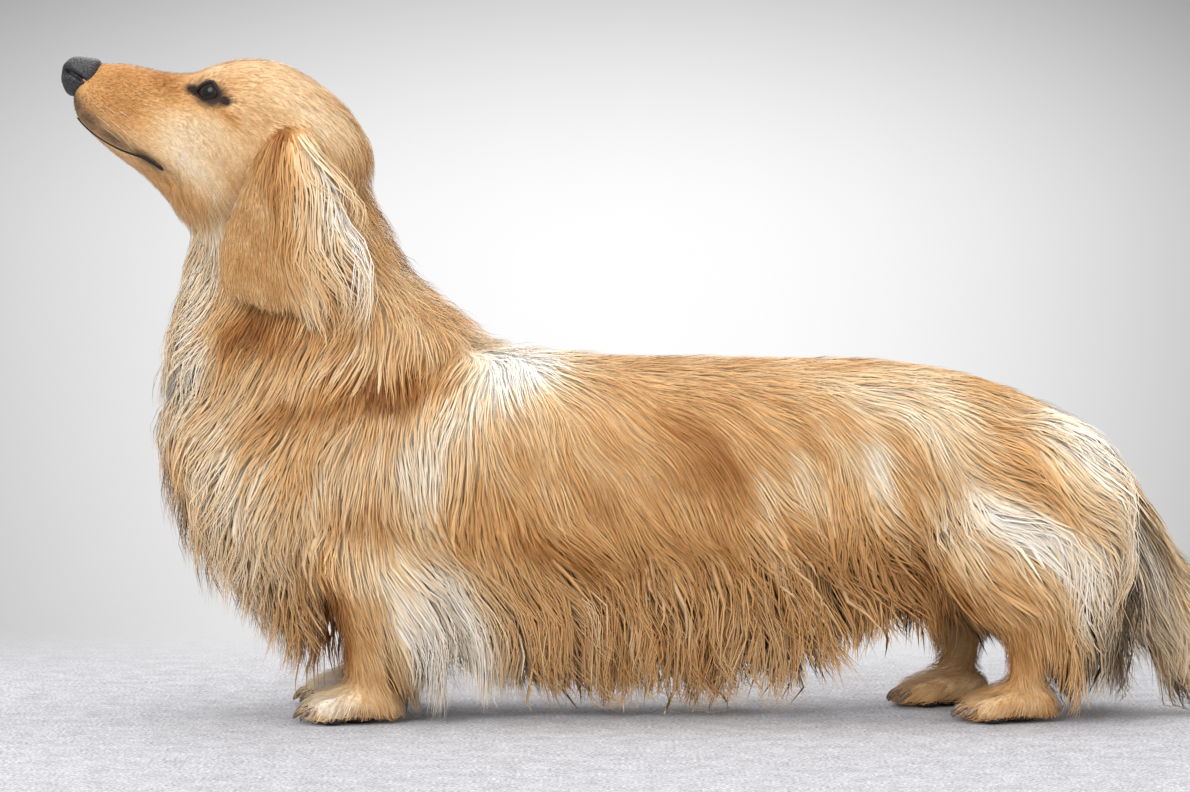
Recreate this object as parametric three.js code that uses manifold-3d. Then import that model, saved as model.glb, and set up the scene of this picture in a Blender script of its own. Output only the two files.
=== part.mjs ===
import * as THREE from "three";
import { mergeVertices } from "three/addons/utils/BufferGeometryUtils.js";
import Module from "manifold-3d";

const wasm = await Module();
wasm.setup();
const { Manifold, Mesh } = wasm;

// A long-haired dachshund standing side-on with its head raised, life size, in millimetres.
// +Z is up, the nose points along -X and the left side faces -Y. The origin is on the floor,
// under the middle of the whole animal.

// Driving sizes
const GAP = 0.35; // clearance between two neighbouring solids
const SHORTEST_EDGE = 0.03; // shorter edges are left out
const CORNER_MERGE = 0.002; // corners nearer than this are one
const FLOOR_CLEARANCE = 2.5; // lowest that any hair tip hangs above the floor
const END_ROUNDING = 0.25; // how far a hair mass's ends bulge, as a share of its first stretch
const COAT_REACH = 0.4; // how far the hair mass under the locks goes towards their tips

const FORE_STANCE = 47; // how far the front feet stand from the middle plane
const HIND_STANCE = 41;
const FORE_FOOT = { left: -202, right: -209 }; // x of the middle of each paw
const HIND_FOOT = { left: 187, right: 155 };
const TOE_SPREAD = 10.4; // from toe to toe across a front paw
const EYE = { x: -290, y: 17.5, z: 373, radius: 9.6 };
const EYE_OPENING = { long: 9.4, high: 6.6, slope: 0.31 }; // half sizes, and its fall to the rear
const TAIL_SPLIT = 0.52; // share of the tail's length where its two lengths meet

// Colours of the coat and of the bare parts
const COLOURS = {
  gold: 0xc99a62,
  tan: 0xc4925a,
  cream: 0xe6cfa8,
  nose: 0x3a3838,
  eye: 0x1d1410,
  claw: 0x5d4b42,
};

// Profiles of the body. Each station gives two facing points of the outline in the side view and
// the half width there: [x, z of the first point, x, z of the second, half width, sideways place].
// A station whose two points are one closes the form.

// From the front of the breast to the seat: top line and underline
const TORSO = [
  [-290, 166, -290, 166, 0],
  [-284, 190, -285, 142, 26],
  [-268, 206, -270, 120, 43],
  [-238, 220, -240, 94, 55],
  [-200, 230, -198, 75, 62],
  [-150, 229, -148, 66, 67],
  [-98, 221, -96, 66, 70],
  [-40, 217.5, -40, 68, 70],
  [22, 216.5, 22, 74, 68],
  [82, 216, 82, 84, 65],
  [128, 213, 124, 92, 62],
  [168, 205, 160, 98, 60],
  [204, 191, 192, 102, 56],
  [234, 172, 220, 110, 45],
  [252, 150, 240, 122, 28],
  [255, 138, 255, 138, 0],
];

// From inside the breast up to inside the skull: throat and nape
const NECK = [
  [-210, 170, -210, 170, 0],
  [-262, 176, -150, 196, 52],
  [-284, 200, -126, 225, 58],
  [-293, 226, -146, 245, 55],
  [-299, 252, -165, 262, 50],
  [-303, 276, -175, 279, 45],
  [-304, 298, -184, 299, 41],
  [-292, 324, -194, 319, 35],
  [-260, 344, -222, 338, 20],
  [-240, 348, -240, 348, 0],
];

// From the front of the muzzle to the back of the skull: forehead and jaw
const HEAD = [
  [-372, 374, -372, 374, 0],
  [-366, 390, -371.5, 360, 12],
  [-355, 391.5, -362, 347, 16],
  [-340, 391.5, -346, 333, 18.5],
  [-322, 387.6, -330, 321.5, 20.5],
  [-304, 385.8, -316, 308, 25],
  [-290, 389.4, -303, 294, 33],
  [-273, 394, -285, 285, 41],
  [-252, 392.5, -259, 284, 45.5],
  [-231, 382, -233, 292, 46],
  [-212, 366, -213, 306, 41],
  [-199, 346, -202, 318, 28],
  [-196, 330, -196, 330, 0],
];

// The bare nose, front to back
const NOSE = [
  [-379, 383, -379, 383, 0],
  [-376.6, 390.5, -377.8, 375.5, 8.5],
  [-371, 394.4, -373.8, 370.8, 12.3],
  [-363, 394.2, -366.5, 371.6, 13.4],
  [-357, 392.6, -358.5, 376, 11],
  [-352.5, 386, -352.5, 386, 0],
];

// The line of the closed mouth, from under the nose to its corner
const MOUTH = [
  [-374.5, 364.5],
  [-366.4, 354.4],
  [-357.2, 346.8],
  [-346.5, 340.6],
  [-337.3, 336.8],
  [-328.2, 334.4],
  [-320.4, 330],
  [-315, 325],
];
const JAW_HINGE = [-306, 296]; // where the jaw runs into the throat
const JAW_DROP = 0.9; // the gap between the lips
const JAW_WIDTH = 0.9; // the lower lip's width as a share of the upper one's

// Foreleg from inside the shoulder to inside the paw: front and rear outline
const FORELEG = [
  [-196, 128, -196, 128, 0, 42],
  [-222, 116, -166, 112, 16, 45],
  [-222, 96, -162, 90, 21, 48],
  [-216, 74, -168, 70, 19, 49],
  [-212, 52, -175, 50, 16, 48],
  [-210, 34, -176, 32, 15.5, 47],
  [-206, 20, -178, 19, 14, 47],
  [-194, 12, -194, 12, 0, 47],
];

// Hind leg from inside the hip, round the stifle and the hock, to inside the paw. The last
// number is how much of the foot's own forward shift the station takes.
const HINDLEG = [
  [206, 186, 206, 186, 0, 34, 0],
  [160, 170, 246, 162, 22, 40, 0],
  [142, 142, 250, 134, 27, 43, 0],
  [136, 112, 242, 106, 28, 44, 0.15],
  [140, 88, 232, 82, 24, 44, 0.4],
  [158, 68, 222, 62, 19, 43, 0.7],
  [178, 50, 216, 46, 16, 41, 0.95],
  [180, 34, 213, 32, 15, 41, 1],
  [182, 22, 210, 20, 14, 41, 1],
  [195, 12, 195, 12, 0, 41, 1],
];

// Tail from inside the croup to its tip: upper and lower outline of the bone and its short coat
const TAIL = [
  [200, 176, 200, 176, 0],
  [220, 184, 206, 158, 15],
  [242, 168, 224, 146, 14],
  [262, 140, 242, 124, 12.5],
  [276, 112, 258, 100, 11],
  [294, 90, 280, 76, 10],
  [318, 71, 308, 57, 8.5],
  [342, 53, 335, 41, 7],
  [362, 37, 357, 28, 5],
  [371, 27, 371, 27, 0],
];

// Ear flap from its root to its lower edge: front edge and rear edge, half thickness, bulge
const EAR = [
  [-240, 358, -240, 358, 0, 0],
  [-251, 346, -228, 350, 4, 3],
  [-265, 322, -215, 330, 3.6, 7],
  [-275, 300, -210, 304, 3.4, 8],
  [-280, 276, -212, 278, 3.2, 7],
  [-276, 256, -222, 256, 3, 4],
  [-250, 246, -250, 246, 0, 0],
];
const EAR_OUT = [36, 45, 49, 50, 51, 53, 56]; // how far out the flap hangs at each station

// Hair masses. Each station: x, z where the mass would leave the bare body, x, z of the hair
// tips, x, z of its inner edge, half width, sideways place.

// Ruff under the throat and down the breast
const RUFF = [
  [-302, 286, -309, 288, -280, 284, 6, 0],
  [-298, 262, -313, 262, -240, 268, 32, 0],
  [-294, 228, -323, 224, -225, 240, 42, 0],
  [-290, 190, -326, 192, -220, 205, 44, 0],
  [-286, 150, -309, 148, -220, 170, 40, 0],
  [-271, 118, -299, 116, -220, 140, 34, 0],
  [-246, 93, -276, 72, -210, 120, 26, 0],
  [-215, 80, -236, 38, -190, 110, 19, 0],
];

// Hanging hair along the belly, from between the forelegs to the flank
const KEEL = [
  [-262, 108, -262, 92, -262, 150, 20, 0],
  [-226, 86, -226, 40, -226, 150, 21, 0],
  [-176, 70, -176, 24, -176, 150, 21, 0],
  [-148, 66, -148, 20, -148, 150, 36, 0],
  [-110, 66, -110, 18, -110, 150, 55, 0],
  [-60, 67, -60, 16, -60, 150, 60, 0],
  [0, 70, 0, 15, 0, 150, 60, 0],
  [50, 78, 50, 18, 50, 150, 58, 0],
  [96, 88, 96, 28, 96, 150, 50, 0],
  [128, 92, 128, 44, 128, 150, 36, 0],
];

// Feather behind each foreleg
const ELBOW_FEATHER = [
  [-170, 92, -160, 92, -190, 92, 8, 50],
  [-168, 70, -142, 66, -190, 68, 12, 51],
  [-173, 48, -130, 38, -190, 46, 13, 51],
  [-176, 30, -129, 18, -190, 28, 12, 50],
  [-178, 18, -138, 7, -190, 16, 7, 49],
];

// Breeches behind each thigh
const BREECHES = [
  [248, 160, 256, 160, 225, 160, 10, 38],
  [250, 134, 268, 128, 220, 134, 17, 40],
  [242, 106, 268, 98, 212, 106, 18, 41],
  [232, 82, 256, 68, 204, 82, 15, 41],
  [222, 62, 242, 46, 200, 62, 10, 41],
];

// Plume under the tail
const PLUME = [
  [236, 130, 232, 100, 250, 148, 10, 0],
  [252, 106, 236, 30, 262, 130, 15, 0],
  [276, 80, 262, 7, 282, 96, 18, 0],
  [306, 58, 302, 6, 312, 70, 17, 0],
  [334, 42, 340, 7, 338, 50, 13, 0],
  [358, 30, 368, 10, 360, 33, 7, 0],
];

// Fringe behind each ear flap
const EAR_FRINGE = [
  [-222, 344, -218, 344, -236, 344, 3, 46],
  [-214, 326, -206, 324, -240, 324, 4.5, 53],
  [-210, 304, -194, 298, -244, 300, 5, 56],
  [-212, 280, -186, 262, -246, 276, 5, 57],
  [-222, 258, -196, 240, -246, 258, 3.5, 57],
];

// Repeatable random numbers from 0 to 1
function randomFrom(seed) {
  let state = seed;
  return () => {
    state = (state + 0x6d2b79f5) | 0;
    let mixed = Math.imul(state ^ (state >>> 15), 1 | state);
    mixed = (mixed + Math.imul(mixed ^ (mixed >>> 7), 61 | mixed)) ^ mixed;
    return ((mixed ^ (mixed >>> 14)) >>> 0) / 4294967296;
  };
}

const mix = THREE.MathUtils.lerp;
const vec = (x, y, z) => new THREE.Vector3(x, y, z);

// A closed three.js geometry as a solid with its faces outwards
function solidOf(geometry, tolerance = 1e-4) {
  const bare = geometry.clone();
  bare.deleteAttribute("normal");
  bare.deleteAttribute("uv");
  const merged = mergeVertices(bare, tolerance);
  const triVerts = new Uint32Array(merged.index.array);
  const vertProperties = merged.attributes.position.array;
  const solid = new Manifold(new Mesh({ numProp: 3, vertProperties, triVerts }));
  if (solid.volume() > 0) return solid;
  for (let i = 0; i < triVerts.length; i += 3) {
    [triVerts[i + 1], triVerts[i + 2]] = [triVerts[i + 2], triVerts[i + 1]];
  }
  return new Manifold(new Mesh({ numProp: 3, vertProperties, triVerts }));
}

// A closed form whose point at a share t of its length and a turn round it is place(t, turn)
function sweep(sides, steps, place) {
  const geometry = new THREE.SphereGeometry(1, sides, steps);
  const position = geometry.attributes.position;
  for (let i = 0; i < position.count; i++) {
    const t = Math.floor(i / (sides + 1)) / steps;
    const turn = ((i % (sides + 1)) % sides) / sides;
    const point = place(t, turn);
    position.setXYZ(i, point.x, point.y, point.z);
  }
  return solidOf(geometry);
}

const signedPower = (value, power) => Math.sign(value) * Math.abs(value) ** power;

// A body form that runs smoothly through its stations, on the middle plane or out to one side
class Form {
  constructor(stations, { sides, steps, square = 2.2, side = 0, shift = 0 }) {
    Object.assign(this, { sides, steps, square });
    const moved = (s) => shift * (s[6] ?? 1);
    const across = (s) => side * (s[5] ?? 0);
    this.first = new THREE.CatmullRomCurve3(
      stations.map((s) => vec(s[0] + moved(s), across(s), s[1])),
    );
    this.second = new THREE.CatmullRomCurve3(
      stations.map((s) => vec(s[2] + moved(s), across(s), s[3])),
    );
    this.width = new THREE.CatmullRomCurve3(stations.map((s) => vec(s[4], 0, 0)));
    for (const curve of [this.first, this.second, this.width]) curve.curveType = "catmullrom";
  }

  // turn 0 is the right side (+Y), 0.25 the first outline, 0.5 the left side, 0.75 the second
  point(t, turn, grow = 0) {
    const first = this.first.getPoint(t);
    const second = this.second.getPoint(t);
    const half = Math.max(this.width.getPoint(t).x, 0);
    const angle = 2 * Math.PI * turn;
    const offset = first.clone().sub(second);
    offset.multiplyScalar(signedPower(Math.sin(angle), 2 / this.square) / 2);
    offset.y += half * signedPower(Math.cos(angle), 2 / this.square);
    const surface = first.lerp(second, 0.5).add(offset);
    if (grow === 0) return surface;
    if (t === 0 || t === 1) return surface.addScaledVector(this.endDirection(t), 2 * grow);
    return surface.addScaledVector(this.out(t, turn), 1.4 * grow);
  }

  // The direction in which the form closes at either end
  endDirection(t) {
    const centreAt = (share) => this.first.getPoint(share).lerp(this.second.getPoint(share), 0.5);
    return centreAt(t).sub(centreAt(t === 0 ? 0.04 : 0.96)).normalize();
  }

  // The outward direction at a surface point
  out(t, turn) {
    const step = 0.01;
    const along = this.point(t + step, turn).sub(this.point(t - step, turn));
    const round = this.point(t, turn + step).sub(this.point(t, turn - step));
    const normal = along.cross(round).normalize();
    const centre = this.first.getPoint(t).lerp(this.second.getPoint(t), 0.5);
    const outwards = this.point(t, turn).sub(centre);
    return normal.dot(outwards) < 0 ? normal.negate() : normal;
  }

  // Half width of the form at a point of the side view
  widthAt(x, z) {
    let best = { miss: Infinity };
    for (let t = 0; t <= 1; t += 0.002) {
      const first = this.first.getPoint(t);
      const second = this.second.getPoint(t);
      const length = Math.max(first.distanceTo(second), 1e-6);
      const dx = (first.x - second.x) / length;
      const dz = (first.z - second.z) / length;
      const miss = Math.abs((x - second.x) * dz - (z - second.z) * dx);
      const share = ((x - second.x) * dx + (z - second.z) * dz) / length;
      if (miss < best.miss && share >= 0 && share <= 1) best = { miss, share, t };
    }
    const along = Math.abs(2 * best.share - 1);
    return this.width.getPoint(best.t).x * (1 - along ** this.square) ** (1 / this.square);
  }

  solid(grow = 0) {
    return sweep(this.sides, this.steps, (t, turn) => this.point(t, turn, grow));
  }
}

// A hair mass whose outer edge reaches a share of the way from the bare body to the hair tips
function massForm(stations, options, reach = COAT_REACH) {
  const reached = stations.map((s) => [mix(s[0], s[2], reach), mix(s[1], s[3], reach), ...s.slice(4)]);
  const middle = (s) => [(s[0] + s[2]) / 2, (s[1] + s[3]) / 2];
  const ends = [[reached[0], reached[1]], [reached.at(-1), reached.at(-2)]].map(([s, inner]) => {
    const [x, z] = middle(s);
    const [innerX, innerZ] = middle(inner);
    const end = [x + (x - innerX) * END_ROUNDING, z + (z - innerZ) * END_ROUNDING];
    return [...end, ...end, 0, s[5]];
  });
  return new Form([ends[0], ...reached, ends[1]], options);
}

function ball([x, y, z], radii, grow = 0, sides = 10, steps = 7) {
  const geometry = new THREE.SphereGeometry(1, sides, steps);
  geometry.rotateX(Math.PI / 2);
  geometry.scale(...radii.map((radius) => radius + grow));
  geometry.translate(x, y, z);
  return solidOf(geometry);
}

const join = (...solids) => Manifold.union(solids.flat());

// The largest closed surface of a solid, with no loose scraps
function largest(solid) {
  const pieces = solid.decompose();
  return pieces.reduce((best, piece) => (piece.volume() > best.volume() ? piece : best));
}

// A flat tapered lock: a ridge outside, a flat back towards the body and a pointed tip. Its path
// bows away from the body and sways to one side and back.
function lockSolid({ root, tip, out, width, thick, bow, sway }, grow = 0) {
  const reach = tip.clone().sub(root);
  const across = reach.clone().cross(out).normalize();
  const at = (share, outwards, sideways) => {
    const point = root.clone().addScaledVector(reach, share);
    return point.addScaledVector(out, outwards).addScaledVector(across, sideways);
  };
  const path = new THREE.CatmullRomCurve3([
    root,
    at(0.33, bow, sway),
    at(0.7, bow * 0.7, -sway * 0.6),
    tip,
  ]);
  const corner = grow / Math.tan(Math.atan2(thick, width / 2) / 2);
  return sweep(3, 4, (t, turn) => {
    const onward = t === 0 ? -4 * grow : 4 * grow;
    if (t === 0 || t === 1) return path.getPoint(t).addScaledVector(path.getTangent(t), onward);
    const swell = t < 0.4 ? mix(0.75, 1, t / 0.4) : Math.cos((t - 0.4) * 2.3) ** 0.8;
    const tangent = path.getTangent(t);
    const up = across.clone().cross(tangent).normalize();
    const angle = 2 * Math.PI * turn - Math.PI / 6;
    const half = ((width / 2) * swell + corner) / Math.cos(Math.PI / 6);
    const rise = (thick * swell + 2 * grow) / 1.5;
    const point = path.getPoint(t).addScaledVector(across, half * Math.cos(angle));
    point.addScaledVector(up, rise * (Math.sin(angle) + 0.5) - grow);
    return point.setZ(Math.max(point.z, FLOOR_CLEARANCE - grow));
  });
}

// A row of locks. Their roots run over a form from one place to another, each place a share of
// the form's length and a turn round it on the left side, and their tips along a line of points
// whose middle number is the distance out from the middle plane. side is -1 left and 1 right.
function lockRow(form, row, side, random) {
  const { from, to, tips, count, width, thick = 5, sunk = 4, bow = 4, sway = 4, face } = row;
  const spread = (amount) => (random() * 2 - 1) * amount;
  const tipLine = new THREE.CatmullRomCurve3(tips.map(([x, y, z]) => vec(x, y * side, z)));
  return Array.from({ length: count }, (_, i) => {
    const share = (i + 0.5 + spread(0.15)) / count;
    const t = mix(from[0], to[0], share);
    const turn = mix(from[1], to[1], share) + spread(0.006);
    const placed = side < 0 ? turn : (1.5 - turn) % 1;
    const surface = form.point(t, placed);
    const out = form.out(t, placed);
    const tip = tipLine.getPoint(share).add(vec(spread(4), spread(2), spread(4)));
    tip.z = Math.max(tip.z, FLOOR_CLEARANCE + random() * 3);
    return {
      root: surface.addScaledVector(out, -sunk),
      tip,
      out: face ? vec(face[0], face[1] * side, face[2]).normalize() : out,
      width: width * (1 + spread(0.15)),
      thick,
      bow,
      sway: spread(sway),
    };
  });
}

// Places of locks on each form, as lockRow reads them
const FLANK_LOCKS = [
  {
    from: [0.29, 0.43],
    to: [0.78, 0.43],
    tips: [[-148, 74, 92], [-50, 77, 88], [50, 75, 88], [128, 69, 94], [196, 66, 106]],
    count: 8,
    width: 40,
    thick: 5,
    bow: 5,
    sway: 6,
  },
  {
    from: [0.35, 0.57],
    to: [0.77, 0.57],
    tips: [
      [-116, 62, 24], [-84, 64, 18], [-44, 64, 14], [-10, 64, 14], [30, 64, 19],
      [62, 62, 18], [88, 60, 20], [114, 58, 40], [146, 56, 54], [178, 52, 62],
    ],
    count: 12,
    width: 34,
    thick: 5,
    bow: 9,
    sway: 7,
  },
];
const SHOULDER_LOCKS = [
  {
    from: [0.13, 0.43],
    to: [0.3, 0.43],
    tips: [[-287, 45, 108], [-256, 58, 90], [-216, 68, 88], [-170, 74, 90]],
    count: 4,
    width: 36,
    sway: 6,
  },
  {
    from: [0.12, 0.58],
    to: [0.2, 0.58],
    tips: [[-276, 32, 74], [-256, 36, 52], [-238, 36, 38]],
    count: 2,
    width: 30,
  },
];
const BELLY_LOCKS = [
  {
    from: [0.36, 0.33],
    to: [0.88, 0.33],
    tips: [[-130, 34, 20], [-60, 35, 15], [0, 35, 15], [60, 34, 22], [122, 30, 48]],
    count: 6,
    width: 36,
    face: [0, 1, 0],
  },
];
const BELLY_MIDDLE_LOCKS = [
  {
    from: [0.2, 0.25],
    to: [0.86, 0.25],
    tips: [[-216, 0, 34], [-180, 0, 26], [-120, 0, 20], [-50, 0, 17], [20, 0, 18], [112, 0, 50]],
    count: 5,
    width: 38,
    face: [0, 1, 0],
  },
];
const RUFF_LOCKS = [
  {
    from: [0.12, 0.34],
    to: [0.8, 0.34],
    tips: [
      [-312, 20, 232], [-323, 23, 196], [-315, 23, 160], [-304, 23, 128], [-290, 22, 92],
      [-266, 20, 54], [-232, 17, 31],
    ],
    count: 5,
    width: 31,
    sway: 6,
  },
  {
    from: [0.16, 0.43],
    to: [0.72, 0.43],
    tips: [[-300, 42, 216], [-308, 45, 182], [-302, 44, 148], [-290, 42, 112], [-270, 36, 80]],
    count: 4,
    width: 32,
    sway: 6,
  },
];
const RUFF_MIDDLE_LOCKS = [
  {
    from: [0.12, 0.25],
    to: [0.86, 0.25],
    tips: [
      [-316, 0, 246], [-326, 0, 210], [-328, 0, 194], [-312, 0, 142], [-298, 0, 104],
      [-274, 0, 68], [-248, 0, 42], [-224, 0, 29],
    ],
    count: 6,
    width: 31,
    sway: 6,
  },
];
const NECK_LOCKS = [
  {
    from: [0.5, 0.4],
    to: [0.48, 0.6],
    tips: [[-282, 56, 194], [-252, 62, 186], [-220, 64, 186], [-184, 61, 198]],
    count: 3,
    width: 36,
    bow: 5,
  },
  {
    from: [0.3, 0.38],
    to: [0.28, 0.6],
    tips: [[-286, 54, 150], [-258, 63, 142], [-226, 69, 140], [-188, 72, 146], [-150, 74, 160]],
    count: 3,
    width: 46,
    bow: 5,
  },
];
const ELBOW_LOCKS = [
  {
    from: [0.12, 0.25],
    to: [0.74, 0.25],
    tips: [[-150, 50, 56], [-133, 50, 34], [-127, 50, 18], [-138, 50, 5]],
    count: 4,
    width: 19,
    thick: 4,
    face: [0, 1, 0],
  },
  {
    from: [0.08, 0.45],
    to: [0.6, 0.45],
    tips: [[-160, 62, 46], [-146, 61, 24], [-150, 57, 6]],
    count: 2,
    width: 24,
    thick: 4,
    sunk: 3,
  },
];
const BREECHES_LOCKS = [
  {
    from: [0.08, 0.25],
    to: [0.8, 0.25],
    tips: [[268, 40, 106], [275, 42, 80], [266, 42, 56], [244, 42, 34]],
    count: 4,
    width: 25,
    face: [0, 1, 0],
  },
  {
    from: [0.08, 0.45],
    to: [0.72, 0.45],
    tips: [[256, 60, 92], [258, 60, 62], [236, 55, 38]],
    count: 2,
    width: 32,
  },
];
const THIGH_LOCKS = [
  {
    from: [0.16, 0.38],
    to: [0.16, 0.6],
    tips: [[158, 70, 94], [190, 76, 80], [224, 71, 78]],
    count: 3,
    width: 36,
  },
  {
    from: [0.36, 0.4],
    to: [0.36, 0.6],
    tips: [[168, 62, 56], [198, 60, 48]],
    count: 2,
    width: 32,
  },
];
const PLUME_LOCKS = [
  {
    from: [0.08, 0.45],
    to: [0.86, 0.45],
    tips: [
      [250, 20, 46], [244, 23, 12], [266, 23, 6], [294, 23, 6], [326, 20, 6], [354, 14, 8],
      [375, 6, 12],
    ],
    count: 5,
    width: 30,
    sway: 6,
  },
];
const PLUME_MIDDLE_LOCKS = [
  {
    from: [0.1, 0.25],
    to: [0.88, 0.25],
    tips: [[238, 0, 70], [236, 0, 30], [250, 0, 8], [284, 0, 5], [322, 0, 5], [366, 0, 8]],
    count: 5,
    width: 32,
    face: [0, 1, 0],
    sway: 6,
  },
];
const TAIL_LOCKS = [
  {
    from: [0.3, 0.47],
    to: [0.88, 0.47],
    tips: [[274, 24, 76], [294, 24, 50], [322, 21, 31], [348, 16, 19], [368, 10, 14], [381, 3, 12]],
    count: 5,
    width: 24,
    thick: 4,
    sunk: 3,
  },
];
const EAR_LOCKS = [
  {
    from: [0.1, 0.27],
    to: [0.86, 0.27],
    tips: [[-198, 55, 294], [-186, 57, 270], [-183, 58, 250], [-196, 59, 236]],
    count: 4,
    width: 20,
    thick: 3.5,
    sunk: 3,
    face: [0, 1, 0],
  },
  {
    from: [0.1, 0.45],
    to: [0.8, 0.45],
    tips: [[-210, 62, 272], [-203, 64, 254], [-216, 63, 237]],
    count: 3,
    width: 21,
    thick: 3.5,
    sunk: 3,
  },
];

// Mirrored rows of locks, or one side's only
function locksOn(form, rows, seed, sides = [-1, 1]) {
  const random = randomFrom(seed);
  return rows.flatMap((row) => sides.flatMap((side) => lockRow(form, row, side, random)));
}

// A node's forms and locks as one solid, true to size or grown by the gap
const built = (forms, locks, grow = 0) =>
  join(
    forms.map((form) => form.solid(grow)),
    locks.map((lock) => lockSolid(lock, grow)),
  );

const MATERIALS = Object.fromEntries(
  Object.entries(COLOURS).map(([name, color]) => {
    const roughness = { eye: 0.06, nose: 0.45, claw: 0.4 }[name] ?? 0.85;
    return [name, new THREE.MeshStandardMaterial({ color, roughness, metalness: 0 })];
  }),
);

const root = new THREE.Group();

function geometryOf(solid) {
  const mesh = solid.getMesh();
  const geometry = new THREE.BufferGeometry();
  geometry.setAttribute("position", new THREE.BufferAttribute(mesh.vertProperties, mesh.numProp));
  geometry.setIndex(new THREE.BufferAttribute(mesh.triVerts, 1));
  return geometry;
}

// Adds a solid's largest closed surface to the model as a named mesh. Corners that nearly meet
// become one first, which can close off a pocket among the locks, and that is then filled.
function addNode(name, solid, material) {
  const smoothed = largest(solid).simplify(SHORTEST_EDGE);
  const closed = largest(solidOf(geometryOf(smoothed), CORNER_MERGE));
  const geometry = geometryOf(closed);
  geometry.computeVertexNormals();
  const node = new THREE.Mesh(geometry, MATERIALS[material]);
  node.name = name;
  root.add(node);
}

const SIDES = { left: -1, right: 1 };

// Torso, neck, ruff and belly hair, as one body that is parted further down
const torso = new Form(TORSO, { sides: 16, steps: 15, square: 2.3 });
const neck = new Form(NECK, { sides: 12, steps: 9 });
const ruff = massForm(RUFF, { sides: 8, steps: 9 });
const keel = massForm(KEEL, { sides: 8, steps: 11, square: 2.6 });
const trunkLocks = [
  ...locksOn(torso, [...FLANK_LOCKS, ...SHOULDER_LOCKS], 11),
  ...locksOn(keel, BELLY_LOCKS, 12),
  ...locksOn(keel, BELLY_MIDDLE_LOCKS, 13, [1]),
  ...locksOn(ruff, RUFF_LOCKS, 14),
  ...locksOn(ruff, RUFF_MIDDLE_LOCKS, 15, [1]),
  ...locksOn(neck, NECK_LOCKS, 16),
];
let trunk = built([torso, neck, ruff, keel], trunkLocks);

// Head, jaw and nose
const head = new Form(HEAD, { sides: 16, steps: 14 });
const nose = new Form(NOSE, { sides: 10, steps: 6 });

// A plate that covers all below the line of the mouth, lowered by drop
function belowMouth(drop) {
  const [hingeX, hingeZ] = JAW_HINGE;
  const outline = [
    [-400, MOUTH[0][1] + 8],
    ...MOUTH,
    [hingeX, hingeZ],
    [hingeX, 250],
    [-400, 250],
  ].map(([x, z]) => new THREE.Vector2(x - 0.6 * drop, z - drop));
  const geometry = new THREE.ExtrudeGeometry(new THREE.Shape(outline), {
    depth: 120,
    bevelEnabled: false,
  });
  geometry.translate(0, 0, -60);
  geometry.rotateX(Math.PI / 2);
  return solidOf(geometry);
}

// A lip: a thin roll that runs round the mouth from corner to corner
function lip(form, radius, rise, inset) {
  const half = MOUTH.slice(1).map(([x, z]) => {
    const y = Math.max(form.widthAt(x, z + rise) * inset, 2);
    return vec(x, -y, z + rise);
  });
  const front = vec(MOUTH[0][0] + 2.5, 0, MOUTH[0][1] + rise - 1.5);
  const other = half.map((point) => vec(point.x, -point.y, point.z));
  const path = new THREE.CatmullRomCurve3([...half.toReversed(), front, ...other]);
  const section = new THREE.Shape().absarc(0, 0, radius, 0, 2 * Math.PI);
  return solidOf(
    new THREE.ExtrudeGeometry(section, { steps: 14, curveSegments: 2, extrudePath: path }),
  );
}

// The rim of both lids round an eye
function lids(side) {
  const outwards = vec(-0.33, 0.93 * side, 0.14).normalize();
  const along = vec(1, 0, -EYE_OPENING.slope).addScaledVector(outwards, 0.33).normalize();
  along.addScaledVector(outwards, -along.dot(outwards)).normalize();
  const up = outwards.clone().cross(along);
  const ring = new THREE.TorusGeometry(1, 0.23, 4, 10);
  ring.scale(EYE_OPENING.long, EYE_OPENING.high, 8);
  ring.applyMatrix4(new THREE.Matrix4().makeBasis(along, up, outwards));
  const centre = vec(EYE.x, EYE.y * side, EYE.z).addScaledVector(outwards, EYE.radius * 0.62);
  ring.translate(centre.x, centre.y, centre.z);
  return solidOf(ring);
}

const eyeball = (side, grow = 0) =>
  ball([EYE.x, EYE.y * side, EYE.z], [EYE.radius, EYE.radius, EYE.radius], grow, 8, 6);
const nostril = (side) =>
  join(
    ball([-376, 6.4 * side, 383.4], [4, 3.1, 3], 0, 6, 4),
    ball([-368, 12.6 * side, 380.6], [8, 2.8, 1.7], 0, 6, 4),
  );

const skull = head
  .solid()
  .subtract(belowMouth(0))
  .add(lip(head, 1.7, 1.6, 0.97))
  .add(join(lids(-1), lids(1)))
  .subtract(join(eyeball(-1, GAP), eyeball(1, GAP), nose.solid(GAP)));
const jaw = head
  .solid()
  .scale([1, JAW_WIDTH, 1])
  .intersect(belowMouth(JAW_DROP))
  .add(lip(head, 1.3, -2.5, 0.88).intersect(belowMouth(JAW_DROP)))
  .subtract(belowMouth(0).add(nose.solid(GAP)).subtract(belowMouth(JAW_DROP)));
addNode("head", skull, "gold");
addNode("lower_jaw", jaw.subtract(nose.solid(GAP)), "tan");
addNode("nose", nose.solid().subtract(join(nostril(-1), nostril(1))), "nose");
trunk = trunk.subtract(head.solid(GAP));

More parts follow.
